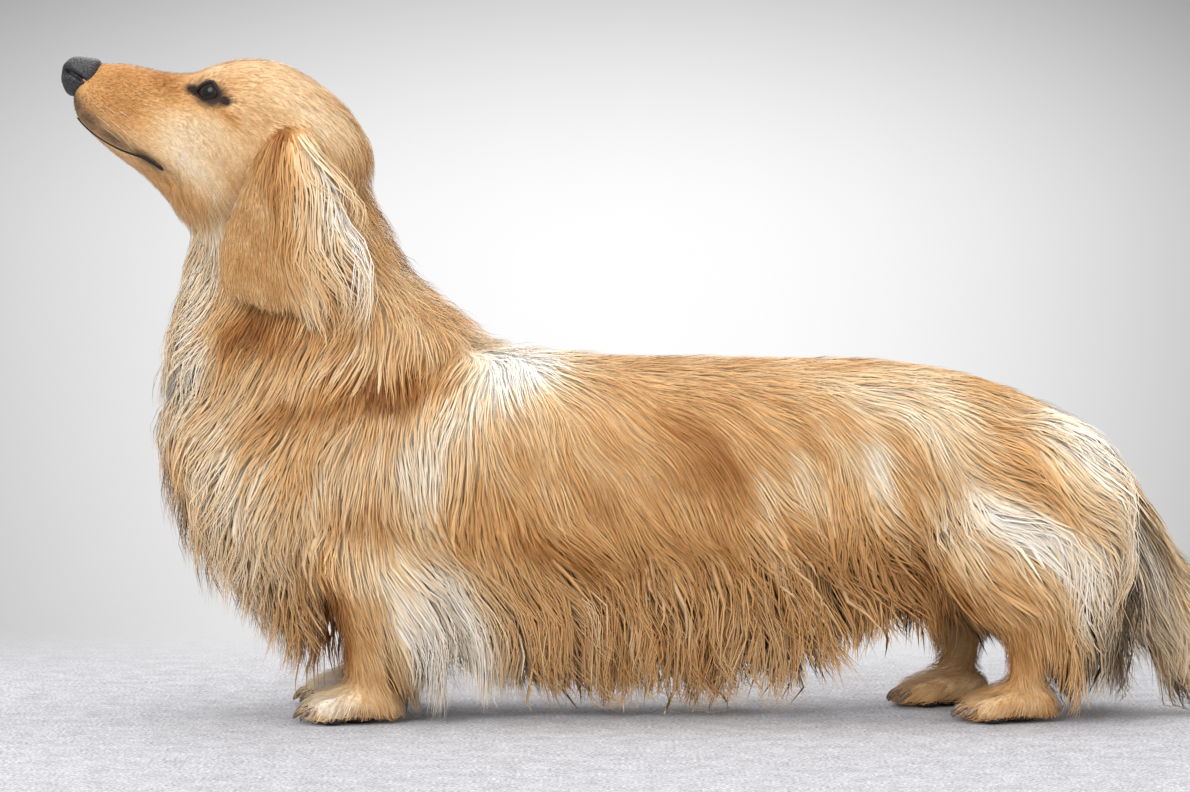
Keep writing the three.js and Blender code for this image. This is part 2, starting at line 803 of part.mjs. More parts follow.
// Eyes and ears
function earFlap(side, grow = 0) {
  const curve = (points) => new THREE.CatmullRomCurve3(points);
  const front = curve(EAR.map(([x, z], i) => vec(x, EAR_OUT[i] * side, z)));
  const rear = curve(EAR.map(([, , x, z], i) => vec(x, EAR_OUT[i] * side, z)));
  const shell = curve(EAR.map(([, , , , half, bulge]) => vec(half, bulge, 0)));
  return sweep(8, 8, (t, turn) => {
    const across = Math.cos(2 * Math.PI * turn);
    const along = Math.sin(2 * Math.PI * turn);
    const a = front.getPoint(t);
    const b = rear.getPoint(t);
    const { x: half, y: bulge } = shell.getPoint(t);
    const ends = t === 0 || t === 1 ? 0 : 1;
    const offset = a.clone().sub(b).multiplyScalar(along / 2);
    if (grow) offset.setLength(offset.length() + grow * Math.abs(along) * ends);
    offset.y += side * (bulge * (1 - along ** 2) + (half + grow) * across * ends);
    return a.lerp(b, 0.5).add(offset);
  });
}
for (const [name, side] of Object.entries(SIDES)) {
  addNode(`eye_${name}`, eyeball(side), "eye");
  const fringe = massForm(EAR_FRINGE, { sides: 6, steps: 6, side });
  const locks = locksOn(fringe, EAR_LOCKS, 21, [side]);
  const touching = join(head.solid(GAP), neck.solid(GAP), ruff.solid(GAP));
  const ear = earFlap(side).add(built([fringe], locks));
  addNode(`ear_${name}`, ear.subtract(touching), "cream");
  const clear = earFlap(side, GAP).add(built([fringe], locks, GAP));
  trunk = trunk.subtract(clear.subtract(join(neck.solid(), ruff.solid())));
}

// Paws: four toes and a pad on flat soles, with a claw in each toe
const toePlaces = (foot, side, stance) =>
  [-1.5, -0.5, 0.5, 1.5].map((place) => ({
    x: foot - 19 + 2.4 * place ** 2,
    y: stance * side + place * TOE_SPREAD,
  }));

function claw({ x, y }, grow = 0) {
  const path = new THREE.QuadraticBezierCurve3(
    vec(x - 5, y, 8.5),
    vec(x - 14.5, y, 9.5),
    vec(x - 17.5, y, 2.6 - grow),
  );
  return sweep(4, 3, (t, turn) => {
    const radius = t === 0 || t === 1 ? 0 : 2.5 * (1 - t ** 2) ** 0.5 + 0.3 + grow;
    const angle = 2 * Math.PI * turn;
    const tangent = path.getTangent(t);
    const up = vec(0, 1, 0).cross(tangent).normalize();
    const point = path.getPoint(t).addScaledVector(up, radius * Math.sin(angle));
    point.y += radius * 0.75 * Math.cos(angle);
    return point;
  });
}

function paw(foot, side, stance, grow = 0) {
  const y = stance * side;
  return join(
    ball([foot + 6, y, 11], [25, 18.5, 13.5], grow, 8, 6),
    toePlaces(foot, side, stance).map(({ x, y: toeY }) =>
      ball([x, toeY, 8.4], [12.5, 6.4, 9.4], grow, 6, 4),
    ),
  );
}
const underground = solidOf(new THREE.BoxGeometry(120, 120, 40).translate(0, 0, -20));
const floorUnder = (foot, y) => underground.translate([foot, y, 0]);

// Legs with their feathers, standing in the paws
function addLeg(name, side, { form, foot, stance, masses, locks }) {
  const forms = [form, ...masses];
  const toes = toePlaces(foot, side, stance);
  const clawRoom = join(toes.map((toe) => claw(toe, GAP)));
  const sole = paw(foot, side, stance).subtract(floorUnder(foot, stance * side));
  addNode(`${name}_paw`, sole.subtract(clawRoom), "cream");
  toes.forEach((toe, i) => addNode(`${name}_claw_${i + 1}`, claw(toe), "claw"));
  const room = paw(foot, side, stance, GAP).add(clawRoom);
  addNode(name, built(forms, locks).subtract(room), "tan");
  const clear = built(forms, locks, GAP);
  trunk = trunk.subtract(clear.add(paw(foot, side, stance, GAP)));
  return clear;
}
const hindlegs = [];
for (const [name, side] of Object.entries(SIDES)) {
  const foreShift = FORE_FOOT[name] - FORE_FOOT.left;
  const foreleg = new Form(FORELEG, { sides: 10, steps: 8, side, shift: foreShift });
  const feather = massForm(ELBOW_FEATHER, { sides: 6, steps: 6, side, shift: foreShift });
  addLeg(`foreleg_${name}`, side, {
    form: foreleg,
    foot: FORE_FOOT[name],
    stance: FORE_STANCE,
    masses: [feather],
    locks: locksOn(feather, ELBOW_LOCKS, 31, [side]),
  });

  const hindShift = HIND_FOOT[name] - HIND_FOOT.left;
  const hindleg = new Form(HINDLEG, { sides: 10, steps: 10, side, shift: hindShift });
  const breeches = massForm(BREECHES, { sides: 6, steps: 6, side });
  const hair = [
    ...locksOn(breeches, BREECHES_LOCKS, 32, [side]),
    ...locksOn(hindleg, THIGH_LOCKS, 33, [side]),
  ];
  hindlegs.push(
    addLeg(`hindleg_${name}`, side, {
      form: hindleg,
      foot: HIND_FOOT[name],
      stance: HIND_STANCE,
      masses: [breeches],
      locks: hair,
    }),
  );
}

// A thin cut across the middle plane, through a point of the side view and leaning from upright
function thinCut(x, z, lean, size = 420) {
  const slab = new THREE.BoxGeometry(GAP, 400, size);
  slab.rotateY(lean);
  slab.translate(x, 0, z);
  return solidOf(slab);
}

// The pieces that thin cuts leave of a solid, largest first
function parted(solid, cuts) {
  const pieces = solid.subtract(join(cuts)).decompose();
  return pieces.sort((a, b) => b.volume() - a.volume()).slice(0, cuts.length + 1);
}
const middleX = (solid) => (solid.boundingBox().min[0] + solid.boundingBox().max[0]) / 2;

// Tail with its plume, in two lengths
const tail = new Form(TAIL, { sides: 8, steps: 10 });
const plume = massForm(PLUME, { sides: 6, steps: 7 });
const tailLocks = [
  ...locksOn(plume, PLUME_LOCKS, 41),
  ...locksOn(plume, PLUME_MIDDLE_LOCKS, 42, [1]),
  ...locksOn(tail, TAIL_LOCKS, 43),
];
const wholeTail = largest(built([tail, plume], tailLocks).subtract(join(hindlegs)));
trunk = trunk.subtract(built([tail, plume], tailLocks, GAP));
const split = tail.first.getPoint(TAIL_SPLIT);
const tailLengths = parted(wholeTail, [thinCut(split.x, split.z, 0.35)]);
tailLengths.sort((a, b) => middleX(a) - middleX(b));
addNode("tail_root", tailLengths[0], "gold");
addNode("tail_tip", tailLengths[1], "cream");

// Neck, chest, loin and rump, parted from the trunk
const cuts = [
  thinCut(-229, 221, Math.PI / 2 - 0.147, 300),
  thinCut(-96, 140, -0.12, 400),
  thinCut(98, 150, -0.12, 400),
];
const trunkParts = parted(trunk, cuts).sort((a, b) => middleX(a) - middleX(b));
const lowestFirst = trunkParts
  .slice(0, 2)
  .sort((a, b) => a.boundingBox().min[2] - b.boundingBox().min[2]);
addNode("chest", lowestFirst[0], "gold");
addNode("neck", lowestFirst[1], "gold");
addNode("loin", trunkParts[2], "gold");
addNode("rump", trunkParts[3], "gold");

export default root;
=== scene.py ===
# A long-haired dachshund standing side-on with its head raised: skin, face, claws and coat.
import math

import bmesh
import bpy
import numpy as np
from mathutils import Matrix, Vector
from mathutils.bvhtree import BVHTree
from mathutils.kdtree import KDTree


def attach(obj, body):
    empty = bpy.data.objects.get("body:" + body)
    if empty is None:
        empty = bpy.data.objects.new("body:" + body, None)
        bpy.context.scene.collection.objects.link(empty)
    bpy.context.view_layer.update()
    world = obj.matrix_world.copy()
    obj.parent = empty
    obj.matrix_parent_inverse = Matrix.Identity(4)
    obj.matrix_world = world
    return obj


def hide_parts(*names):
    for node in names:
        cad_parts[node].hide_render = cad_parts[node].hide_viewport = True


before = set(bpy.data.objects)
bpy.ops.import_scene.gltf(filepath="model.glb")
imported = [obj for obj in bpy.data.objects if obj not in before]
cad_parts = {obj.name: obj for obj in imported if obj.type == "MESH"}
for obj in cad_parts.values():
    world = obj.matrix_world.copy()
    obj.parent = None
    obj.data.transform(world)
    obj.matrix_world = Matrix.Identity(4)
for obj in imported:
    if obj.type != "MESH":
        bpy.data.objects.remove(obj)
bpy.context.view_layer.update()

# Camera
# A long lens on the animal's left side, level with its back and tipped down a little, so that
# the photograph's framing holds, with the end of the tail past the right edge.
VIEW_FROM = (-0.060, -2.4, 0.291)
VIEW_CENTRE_HEIGHT = 0.191
FOCAL_PX = 4000
PHOTO_WIDTH_PX = 1190

camera_data = bpy.data.cameras.new("camera")
camera_data.sensor_width = 36
camera_data.lens = FOCAL_PX / PHOTO_WIDTH_PX * camera_data.sensor_width
camera = bpy.data.objects.new("camera", camera_data)
camera.location = VIEW_FROM
dip = math.atan2(VIEW_FROM[2] - VIEW_CENTRE_HEIGHT, -VIEW_FROM[1])
camera.rotation_euler = (math.pi / 2 - dip, 0, 0)
bpy.context.collection.objects.link(camera)
bpy.context.scene.camera = camera
bpy.context.scene.view_settings.view_transform = "Standard"


# Floor and lights
# A pale grey carpet that sweeps up into a paler backdrop far behind, under large soft lights
# from the front and above, as in a photographer's studio. The backdrop glows of itself, and its
# light, paler in the middle and falling off to grey at the edges, is painted on.
def material_with_shader(name, roughness, specular=0.5):
    material = bpy.data.materials.new(name)
    material.use_nodes = True
    shader = material.node_tree.nodes["Principled BSDF"]
    shader.inputs["Roughness"].default_value = roughness
    shader.inputs["Specular IOR Level"].default_value = specular
    return material, shader


def add_node(material, kind, **settings):
    node = material.node_tree.nodes.new("ShaderNode" + kind)
    for key, value in settings.items():
        if key in node.inputs:
            node.inputs[key].default_value = value
        else:
            setattr(node, key, value)
    return node


def wire(material, output, target):
    material.node_tree.links.new(output, target)


def ramp(material, value, stops):
    node = add_node(material, "ValToRGB")
    elements = node.color_ramp.elements
    while len(elements) < len(stops):
        elements.new(0.5)
    for element, (place, colour) in zip(elements, stops):
        element.position = place
        element.color = (*colour, 1)
    wire(material, value, node.inputs["Fac"])
    return node.outputs["Color"]


def linear(colour):
    """A colour as seen, 0 to 255, in the linear light that shaders use."""
    seen = np.asarray(colour, float) / 255
    return tuple(np.where(seen <= 0.04045, seen / 12.92, ((seen + 0.055) / 1.055) ** 2.4))


def sheet_of_floor():
    half_width, front, bend, wall = 5.0, -6.0, 2.0, 6.0
    radius = 3.2
    bm = bmesh.new()
    bmesh.ops.create_grid(bm, x_segments=60, y_segments=240, size=1)
    for v in bm.verts:
        run = (v.co.y + 1) / 2 * (bend - front + radius * math.pi / 2 + wall)
        v.co.x *= half_width
        flat = min(run, bend - front)
        turned = min(max(run - flat, 0) / radius, math.pi / 2)
        risen = max(run - flat - radius * math.pi / 2, 0)
        v.co.y = front + flat + radius * math.sin(turned)
        v.co.z = radius * (1 - math.cos(turned)) + risen
    return bm


def finished(bm, name, *materials):
    """The bmesh as a smooth-shaded object of this name, in place."""
    mesh = bpy.data.meshes.new(name)
    bm.to_mesh(mesh)
    bm.free()
    for face in mesh.polygons:
        face.use_smooth = True
    for material in materials:
        mesh.materials.append(material)
    made = bpy.data.objects.new(name, mesh)
    bpy.context.collection.objects.link(made)
    return made


carpet, carpet_shader = material_with_shader("carpet_and_glowing_backdrop", 0.95, 0.1)
place = add_node(carpet, "TexCoord").outputs["Object"]
pile = add_node(carpet, "TexNoise", Scale=480, Detail=3, Roughness=0.75)
wire(carpet, place, pile.inputs["Vector"])
tufts = add_node(carpet, "TexNoise", Scale=60, Detail=3, Roughness=0.6)
wire(carpet, place, tufts.inputs["Vector"])
speckle = add_node(carpet, "Math", operation="MULTIPLY_ADD")
speckle.inputs[1].default_value = 0.25
wire(carpet, tufts.outputs["Fac"], speckle.inputs[0])
wire(carpet, pile.outputs["Fac"], speckle.inputs[2])
pile_colour = ramp(
    carpet, speckle.outputs["Value"], [(0.48, linear((142, 142, 145))), (0.82, linear((220, 220, 224)))]
)
wire(carpet, pile_colour, carpet_shader.inputs["Base Color"])
split = add_node(carpet, "SeparateXYZ")
wire(carpet, place, split.inputs["Vector"])
beyond = add_node(carpet, "MapRange", interpolation_type="SMOOTHSTEP")
beyond.inputs["From Min"].default_value = 0.12
beyond.inputs["From Max"].default_value = 0.55
wire(carpet, split.outputs["Y"], beyond.inputs["Value"])
# Further back the carpet gives way to a glowing backdrop that shows its painted light
glow = add_node(carpet, "Emission")
painted = add_node(carpet, "VertexColor", layer_name="backdrop_painted_light")
wire(carpet, painted.outputs["Color"], glow.inputs["Color"])
both = add_node(carpet, "MixShader")
wire(carpet, beyond.outputs["Result"], both.inputs["Fac"])
wire(carpet, carpet_shader.outputs["BSDF"], both.inputs[1])
wire(carpet, glow.outputs["Emission"], both.inputs[2])
wire(carpet, both.outputs["Shader"], carpet.node_tree.nodes["Material Output"].inputs["Surface"])
floor = finished(sheet_of_floor(), "studio_floor", carpet)

# The backdrop's glow is painted light: paler in its middle, round the line from the camera over
# the back, and falling off to grey towards the edges
floor_at = np.array([v.co for v in floor.data.vertices])
away = np.maximum(floor_at[:, 1] - VIEW_FROM[1], 0.5)
aside = (floor_at[:, 0] - VIEW_FROM[0]) / away - 0.011
rise = (floor_at[:, 2] - VIEW_FROM[2]) / away + math.tan(dip) - 0.034
light_falloff = np.where(aside < 0, 37, 60) * np.clip(aside / 0.1525, -1.5, 1.5) ** 2
light_falloff += np.where(rise > 0, 34, 4) * np.clip(rise / 0.0587, -1.6, 1.6) ** 2
painted_light_grey = linear(np.clip(256 - light_falloff, 110, 255))
backdrop = floor.data.color_attributes.new("backdrop_painted_light", "FLOAT_COLOR", "POINT")
painted_light_rgba = np.repeat(np.array(painted_light_grey)[:, None], 4, 1).astype(np.float32)
backdrop.data.foreach_set("color", painted_light_rgba.ravel())


def soft_light(name, position, target, size, power, warmth=(1, 1, 1)):
    data = bpy.data.lights.new(name, "AREA")
    data.shape = "DISK"
    data.size = size
    data.energy = power
    data.color = warmth
    light = bpy.data.objects.new(name, data)
    light.location = position
    light.rotation_mode = "QUATERNION"
    light.rotation_quaternion = (Vector(target) - Vector(position)).to_track_quat("-Z", "Y")
    bpy.context.collection.objects.link(light)


soft_light("key_light", (-1.3, -2.3, 1.9), (0, 0, 0.2), 1.7, 46)
soft_light("front_fill", (1.5, -2.6, 1.2), (0.1, 0, 0.2), 2.2, 22)
soft_light("overhead_light", (0.1, 0.2, 2.6), (0, 0, 0.2), 2.0, 38)
soft_light("rim_light", (-0.4, 2.2, 1.8), (0, 0, 0.25), 1.8, 26)
world = bpy.data.worlds.new("studio")
bpy.context.scene.world = world
world.use_nodes = True
world.node_tree.nodes["Background"].inputs["Color"].default_value = (0.97, 0.975, 1, 1)
world.node_tree.nodes["Background"].inputs["Strength"].default_value = 0.82


# Body skin
# The whole animal under its hair: one closed skin over trunk, neck, head, ears, legs, paws and
# tail. Each form is lofted through its profiles, and all are fused, smoothed and then worked
# over at the face.
MM = 0.001
# Rows of a profile are in millimetres, in the side view: x and z of a point on the first
# outline, x and z of the facing one, half the width there, place to the side. Last come, for
# the hind leg, the share of its paw's place that a row moves by, and for the ear, its bulge.
TORSO = [
    (-290, 166, -290, 166, 0), (-284, 190, -285, 142, 26), (-268, 206, -270, 120, 43),
    (-238, 220, -240, 94, 55), (-200, 230, -198, 75, 62), (-150, 229, -148, 66, 67),
    (-98, 221, -96, 66, 70), (-40, 217.5, -40, 68, 70), (22, 216.5, 22, 74, 68),
    (82, 216, 82, 84, 65), (128, 213, 124, 92, 62), (168, 205, 160, 98, 60),
    (204, 191, 192, 102, 56), (234, 172, 220, 110, 45), (252, 150, 240, 122, 28),
    (255, 138, 255, 138, 0),
]
NECK = [
    (-210, 170, -210, 170, 0), (-262, 176, -150, 196, 52), (-284, 200, -126, 225, 58),
    (-293, 226, -146, 245, 55), (-299, 252, -165, 262, 50), (-303, 276, -175, 279, 45),
    (-304, 298, -184, 299, 41), (-292, 324, -194, 319, 35), (-260, 344, -222, 338, 20),
    (-240, 348, -240, 348, 0),
]
HEAD = [
    (-372, 374, -372, 374, 0), (-366, 390, -371.5, 360, 12), (-355, 391.5, -362, 347, 16),
    (-340, 391.5, -346, 333, 18.5), (-322, 387.6, -330, 321.5, 20.5), (-304, 385.8, -316, 308, 25),
    (-290, 389.4, -303, 294, 33), (-273, 394, -285, 285, 41), (-252, 392.5, -259, 284, 45.5),
    (-231, 382, -233, 292, 46), (-212, 366, -213, 306, 41), (-199, 346, -202, 318, 28),
    (-196, 330, -196, 330, 0),
]
FORELEG = [
    (-196, 128, -196, 128, 0, 42), (-222, 116, -166, 112, 16, 45), (-222, 96, -162, 90, 21, 48),
    (-216, 74, -168, 70, 19, 49), (-212, 52, -175, 50, 16, 48), (-210, 34, -176, 32, 15.5, 47),
    (-206, 20, -178, 19, 14, 47), (-194, 12, -194, 12, 0, 47),
]
HINDLEG = [
    (206, 186, 206, 186, 0, 34, 0), (160, 170, 246, 162, 22, 40, 0),
    (142, 142, 250, 134, 27, 43, 0), (136, 112, 242, 106, 28, 44, 0.15),
    (140, 88, 232, 82, 24, 44, 0.4), (158, 68, 222, 62, 19, 43, 0.7),
    (178, 50, 216, 46, 16, 41, 0.95), (180, 34, 213, 32, 15, 41, 1),
    (182, 22, 210, 20, 14, 41, 1), (195, 12, 195, 12, 0, 41, 1),
]
TAIL = [
    (200, 176, 200, 176, 0), (220, 184, 206, 158, 15), (242, 168, 224, 146, 14),
    (262, 140, 242, 124, 12.5), (276, 112, 258, 100, 11), (294, 90, 280, 76, 10),
    (318, 71, 308, 57, 8.5), (342, 53, 335, 41, 7), (362, 37, 357, 28, 5),
    (371, 27, 371, 27, 0),
]
EAR = [
    (-240, 358, -240, 358, 0, 36, 0), (-251, 346, -228, 350, 4, 45, 3),
    (-265, 322, -215, 330, 3.6, 49, 7), (-275, 300, -210, 304, 3.4, 50, 8),
    (-280, 276, -212, 278, 3.2, 51, 7), (-276, 256, -222, 256, 3, 53, 4),
    (-250, 246, -250, 246, 0, 56, 0),
]
# How far the hair stands off the skin on the first outline, the facing one and the sides
TORSO_COAT = (5, 3.6, 6.5)
NECK_COAT = (9.5, 7.5, 9)
HEAD_COAT = (1.6, 1.6, 1.2)
FORELEG_COAT = (4, 5, 4)
HINDLEG_COAT = (5, 7, 5)
TAIL_COAT = (5, 3, 4)
FORE_STANCE = 47
HIND_STANCE = 41
FORE_FOOT = {-1: -202, 1: -209}  # x of the middle of each paw, left and right
HIND_FOOT = {-1: 187, 1: 155}
TOES = (-1.5, -0.5, 0.5, 1.5)
TOE_SPREAD = 10.4
TOE_REACH = 19  # from the middle of the paw to the middle toes, which stand furthest forward
TOE_CURVE = 2.4
PAW_COAT = 1.4
SKIN_VOXEL = 0.0028
SIDES = {"left": -1, "right": 1}


def along(rows, t):
    """Rows of a table read smoothly at shares t, from 0 to 1, of its length."""
    rows = np.asarray(rows, float)
    spans = len(rows) - 1
    place = np.clip(np.asarray(t, float), 0, 1) * spans
    first = np.minimum(place.astype(int), spans - 1)
    u = (place - first)[:, None]
    ends = np.vstack([2 * rows[0] - rows[1], rows, 2 * rows[-1] - rows[-2]])
    a, b, c, d = (ends[first + step] for step in range(4))
    bend = (2 * a - 5 * b + 4 * c - d) * u**2 + (3 * b - a - 3 * c + d) * u**3
    return (2 * b + (c - a) * u + bend) / 2


def sphere_shares(bm):
    """Each vertex's share of the way from pole to pole, and its angle round."""
    at = np.array([v.co for v in bm.verts])
    return np.arccos(np.clip(at[:, 2], -1, 1)) / math.pi, np.arctan2(at[:, 1], at[:, 0])


def signed_power(value, power):
    return np.sign(value) * np.abs(value) ** power


def put(bm, points):
    for v, point in zip(bm.verts, points):
        v.co = point


def lofted(rows, coat, side=0, shift=0, rings=44, sides=36, square=2.2):
    bm = bmesh.new()
    bmesh.ops.create_uvsphere(bm, u_segments=sides, v_segments=rings, radius=1)
    t, angle = sphere_shares(bm)
    row = along(rows, t)
    chord = row[:, 0:2] - row[:, 2:4]
    length = np.linalg.norm(chord, axis=1, keepdims=True)
    chord = chord / np.maximum(length, 1e-6)
    first = row[:, 0:2] - chord * np.minimum(coat[0], 0.35 * length)
    second = row[:, 2:4] + chord * np.minimum(coat[1], 0.35 * length)
    half = np.maximum(row[:, 4], 0)
    half = half - np.minimum(coat[2], 0.35 * half)
    lift = signed_power(np.sin(angle), 2 / square)[:, None] / 2
    outline = (first + second) / 2 + (first - second) * lift
    out = half * signed_power(np.cos(angle), 2 / square)
    if side:
        out = out + side * row[:, 5]
    moved = shift * (row[:, 6] if row.shape[1] > 6 else 1)
    put(bm, MM * np.stack([outline[:, 0] + moved, out, outline[:, 1]], 1))
    return bm


def flap(rows, side, rings=40, sides=40):
    """An ear flap: thin, hanging, and bulged outwards."""
    bm = bmesh.new()
    bmesh.ops.create_uvsphere(bm, u_segments=sides, v_segments=rings, radius=1)
    t, angle = sphere_shares(bm)
    row = along(rows, t)
    across, edge = signed_power(np.cos(angle), 0.45), signed_power(np.sin(angle), 0.8)[:, None]
    outline = (row[:, 0:2] + row[:, 2:4]) / 2 + (row[:, 0:2] - row[:, 2:4]) * 0.96 * edge / 2
    bulge = row[:, 6] * (1 - edge[:, 0] ** 2)
    out = row[:, 5] + bulge + np.maximum(row[:, 4], 0) * across
    put(bm, MM * np.stack([outline[:, 0], side * out, outline[:, 1]], 1))
    if side < 0:
        bmesh.ops.reverse_faces(bm, faces=bm.faces)
    return bm


def ball(centre, radii):
    bm = bmesh.new()
    bmesh.ops.create_uvsphere(bm, u_segments=24, v_segments=16, radius=1)
    bmesh.ops.scale(bm, vec=[MM * r for r in radii], verts=bm.verts)
    bmesh.ops.translate(bm, vec=[MM * c for c in centre], verts=bm.verts)
    return bm


def toe_place(foot, y, place):
    return foot - TOE_REACH + TOE_CURVE * place**2, y + place * TOE_SPREAD


def paw(foot, side, stance):
    """Four toes with clefts between them, before a rounded middle and heel."""
    y = stance * side
    trim = PAW_COAT
    forms = [
        ball((foot + 4, y, 12), (24 - trim, 18 - trim, 13 - trim)),
        ball((foot + 17, y, 9), (12 - trim, 12 - trim, 9 - trim)),
    ]
    for place in TOES:
        x, toe_y = toe_place(foot, y, place)
        forms.append(ball((x, toe_y, 8.6), (12.2 - trim, 6.2 - trim / 2, 9.2 - trim)))
        forms.append(ball((x + 11, toe_y, 13), (12 - trim, 5.8 - trim / 2, 7.5 - trim)))
    return forms


def fused(forms, name, voxel, smoothing):
    """One closed surface over all the forms, its steps smoothed away."""
    joined = bpy.data.meshes.new(name)
    whole = bmesh.new()
    for form in forms:
        form.to_mesh(joined)
        form.free()
        whole.from_mesh(joined)
    whole.to_mesh(joined)
    whole.free()
    holder = bpy.data.objects.new(name, joined)
    bpy.context.collection.objects.link(holder)
    remesh = holder.modifiers.new("remesh", "REMESH")
    remesh.mode = "VOXEL"
    remesh.voxel_size = voxel
    smooth = holder.modifiers.new("smooth", "SMOOTH")
    smooth.factor = 0.5
    smooth.iterations = smoothing
    evaluated = holder.evaluated_get(bpy.context.evaluated_depsgraph_get())
    mesh = bpy.data.meshes.new_from_object(evaluated)
    bpy.data.objects.remove(holder)
    bpy.data.meshes.remove(joined)
    bm = bmesh.new()
    bm.from_mesh(mesh)
    bpy.data.meshes.remove(mesh)
    return bm


forms = [
    lofted(TORSO, TORSO_COAT, square=2.3, rings=60, sides=48),
    lofted(NECK, NECK_COAT),
    lofted(HEAD, HEAD_COAT, rings=60, sides=48),
    lofted(TAIL, TAIL_COAT),
]
for side in SIDES.values():
    fore_shift = FORE_FOOT[side] - FORE_FOOT[-1]
    hind_shift = HIND_FOOT[side] - HIND_FOOT[-1]
    forms.append(lofted(FORELEG, FORELEG_COAT, side, fore_shift))
    forms.append(lofted(HINDLEG, HINDLEG_COAT, side, hind_shift))
    forms.append(flap(EAR, side))
    forms += paw(FORE_FOOT[side], side, FORE_STANCE)
    forms += paw(HIND_FOOT[side], side, HIND_STANCE)
skin_bm = fused(forms, "body_skin", SKIN_VOXEL, 6)


def refined(bm, wanted):
    """Every edge of the wanted faces halved."""
    edges = {edge for face in bm.faces if wanted(face.calc_center_median()) for edge in face.edges}
    bmesh.ops.subdivide_edges(bm, edges=list(edges), cuts=1, use_grid_fill=True)


def smoothed(bm, wanted, rounds):
    verts = [v for v in bm.verts if wanted(v.co)]
    for _ in range(rounds):
        bmesh.ops.smooth_vert(
            bm, verts=verts, factor=0.5, use_axis_x=True, use_axis_y=True, use_axis_z=True
        )


def is_face(place):
    return place.x < -0.226 and place.z > 0.283 and abs(place.y) < 0.047


def is_paw(place):
    return place.z < 0.021


for part in (is_face, is_paw):
    refined(skin_bm, part)
    smoothed(skin_bm, part, 3)

# Pushes that work the face over: middle, reach and move on the right side, in millimetres.
# The left side mirrors them.
FACE_PUSHES = [
    ((-287, 21, 386), 9, (-1.0, 1.4, 2.4)),  # brow over the eye
    ((-300, 0, 391), 11, (0, 0, -1.3)),  # stop between the eyes
    ((-272, 0, 396), 15, (0, 0, -1.0)),  # furrow of the forehead
    ((-303, 20, 370), 9, (0.5, -2.2, 0)),  # hollow before the eye
    ((-276, 38, 362), 14, (0, 2.6, 0)),  # cheek bone
    ((-262, 42, 328), 20, (0, 2.0, 0)),  # cheek muscle
    ((-351, 16, 361), 11, (0, 1.8, -0.4)),  # whisker pad
    ((-322, 21, 362), 12, (0, -1.6, 0)),  # side of the muzzle behind it
    ((-366, 0, 352), 6, (-1.4, 0, 0.5)),  # chin
]
# The closed mouth in the side view, from under the nose to its corner
MOUTH = [
    (-374.5, 364.5), (-366.4, 354.4), (-357.2, 346.8), (-346.5, 340.6), (-337.3, 336.8),
    (-328.2, 334.4), (-320.4, 330), (-315, 325),
]
LIP_GROOVE = 2.2
LIP_REACH = 1.7
LOWER_JAW_WIDTH = 0.9
EYE_AT = (-286, 17.9, 371)
EYE_RADIUS = 10.2
EYE_LONG = 9.3
EYE_CORNER = -2.2  # how far the corners lie under the middle
UPPER_LID = 8.8
LOWER_LID = 3.6
EYE_SLOPE = 0.34
LID_DEPTH = 1.5


def bell(distance, reach):
    return np.exp(-((distance / reach) ** 2))


def eye_frame(side):
    """The directions out of an eye, back along its slit, and up across it."""
    out = Vector((-0.33, 0.93 * side, 0.14)).normalized()
    back = Vector((1, 0, -EYE_SLOPE)) + out * 0.33
    back = (back - out * back.dot(out)).normalized()
    up = back.cross(out) * side
    return np.array(out), np.array(back), np.array(up.normalized())


def lid_edges(a):
    """Heights of the upper and the lower lid's edge at distances back along the slit."""
    open_share = np.clip(1 - np.abs(np.asarray(a) / EYE_LONG) ** 1.45, 0, 1)
    return EYE_CORNER + UPPER_LID * open_share, EYE_CORNER - LOWER_LID * open_share


def in_eye(points, margin):
    """Which points in millimetres lie within an eye's opening, widened by a margin."""
    found = np.zeros(len(points), bool)
    for side in (-1, 1):
        out, back, up = eye_frame(side)
        local = points - np.array(EYE_AT) * (1, side, 1)
        a, u, o = local @ back, local @ up, local @ out
        upper, lower = lid_edges(a * EYE_LONG / (EYE_LONG + margin))
        found |= (u < upper + margin) & (u > lower - margin) & (np.abs(a) < EYE_LONG + margin) & (o > 2)
    return found


def from_mouth(points):
    """Distance in the side view from the line of the mouth, negative under it."""
    line = along(MOUTH, np.linspace(0, 1, 60))
    gap = points[:, None, [0, 2]] - line[None]
    distance = np.linalg.norm(gap, axis=2)
    nearest = distance.argmin(1)
    under = gap[np.arange(len(points)), nearest, 1] < 0
    return distance.min(1) * np.where(under, -1, 1)


# Pushes that carry the skin forward under the thick hair of the ruff and the breast
THICK_COAT = [
    ((-285, 0, 245), 48, (-9, 0, 0)), ((-282, 0, 200), 48, (-8, 0, 0)),
    ((-272, 0, 155), 48, (-8, 0, -2)), ((-252, 0, 110), 40, (-4, 0, -7)),
]


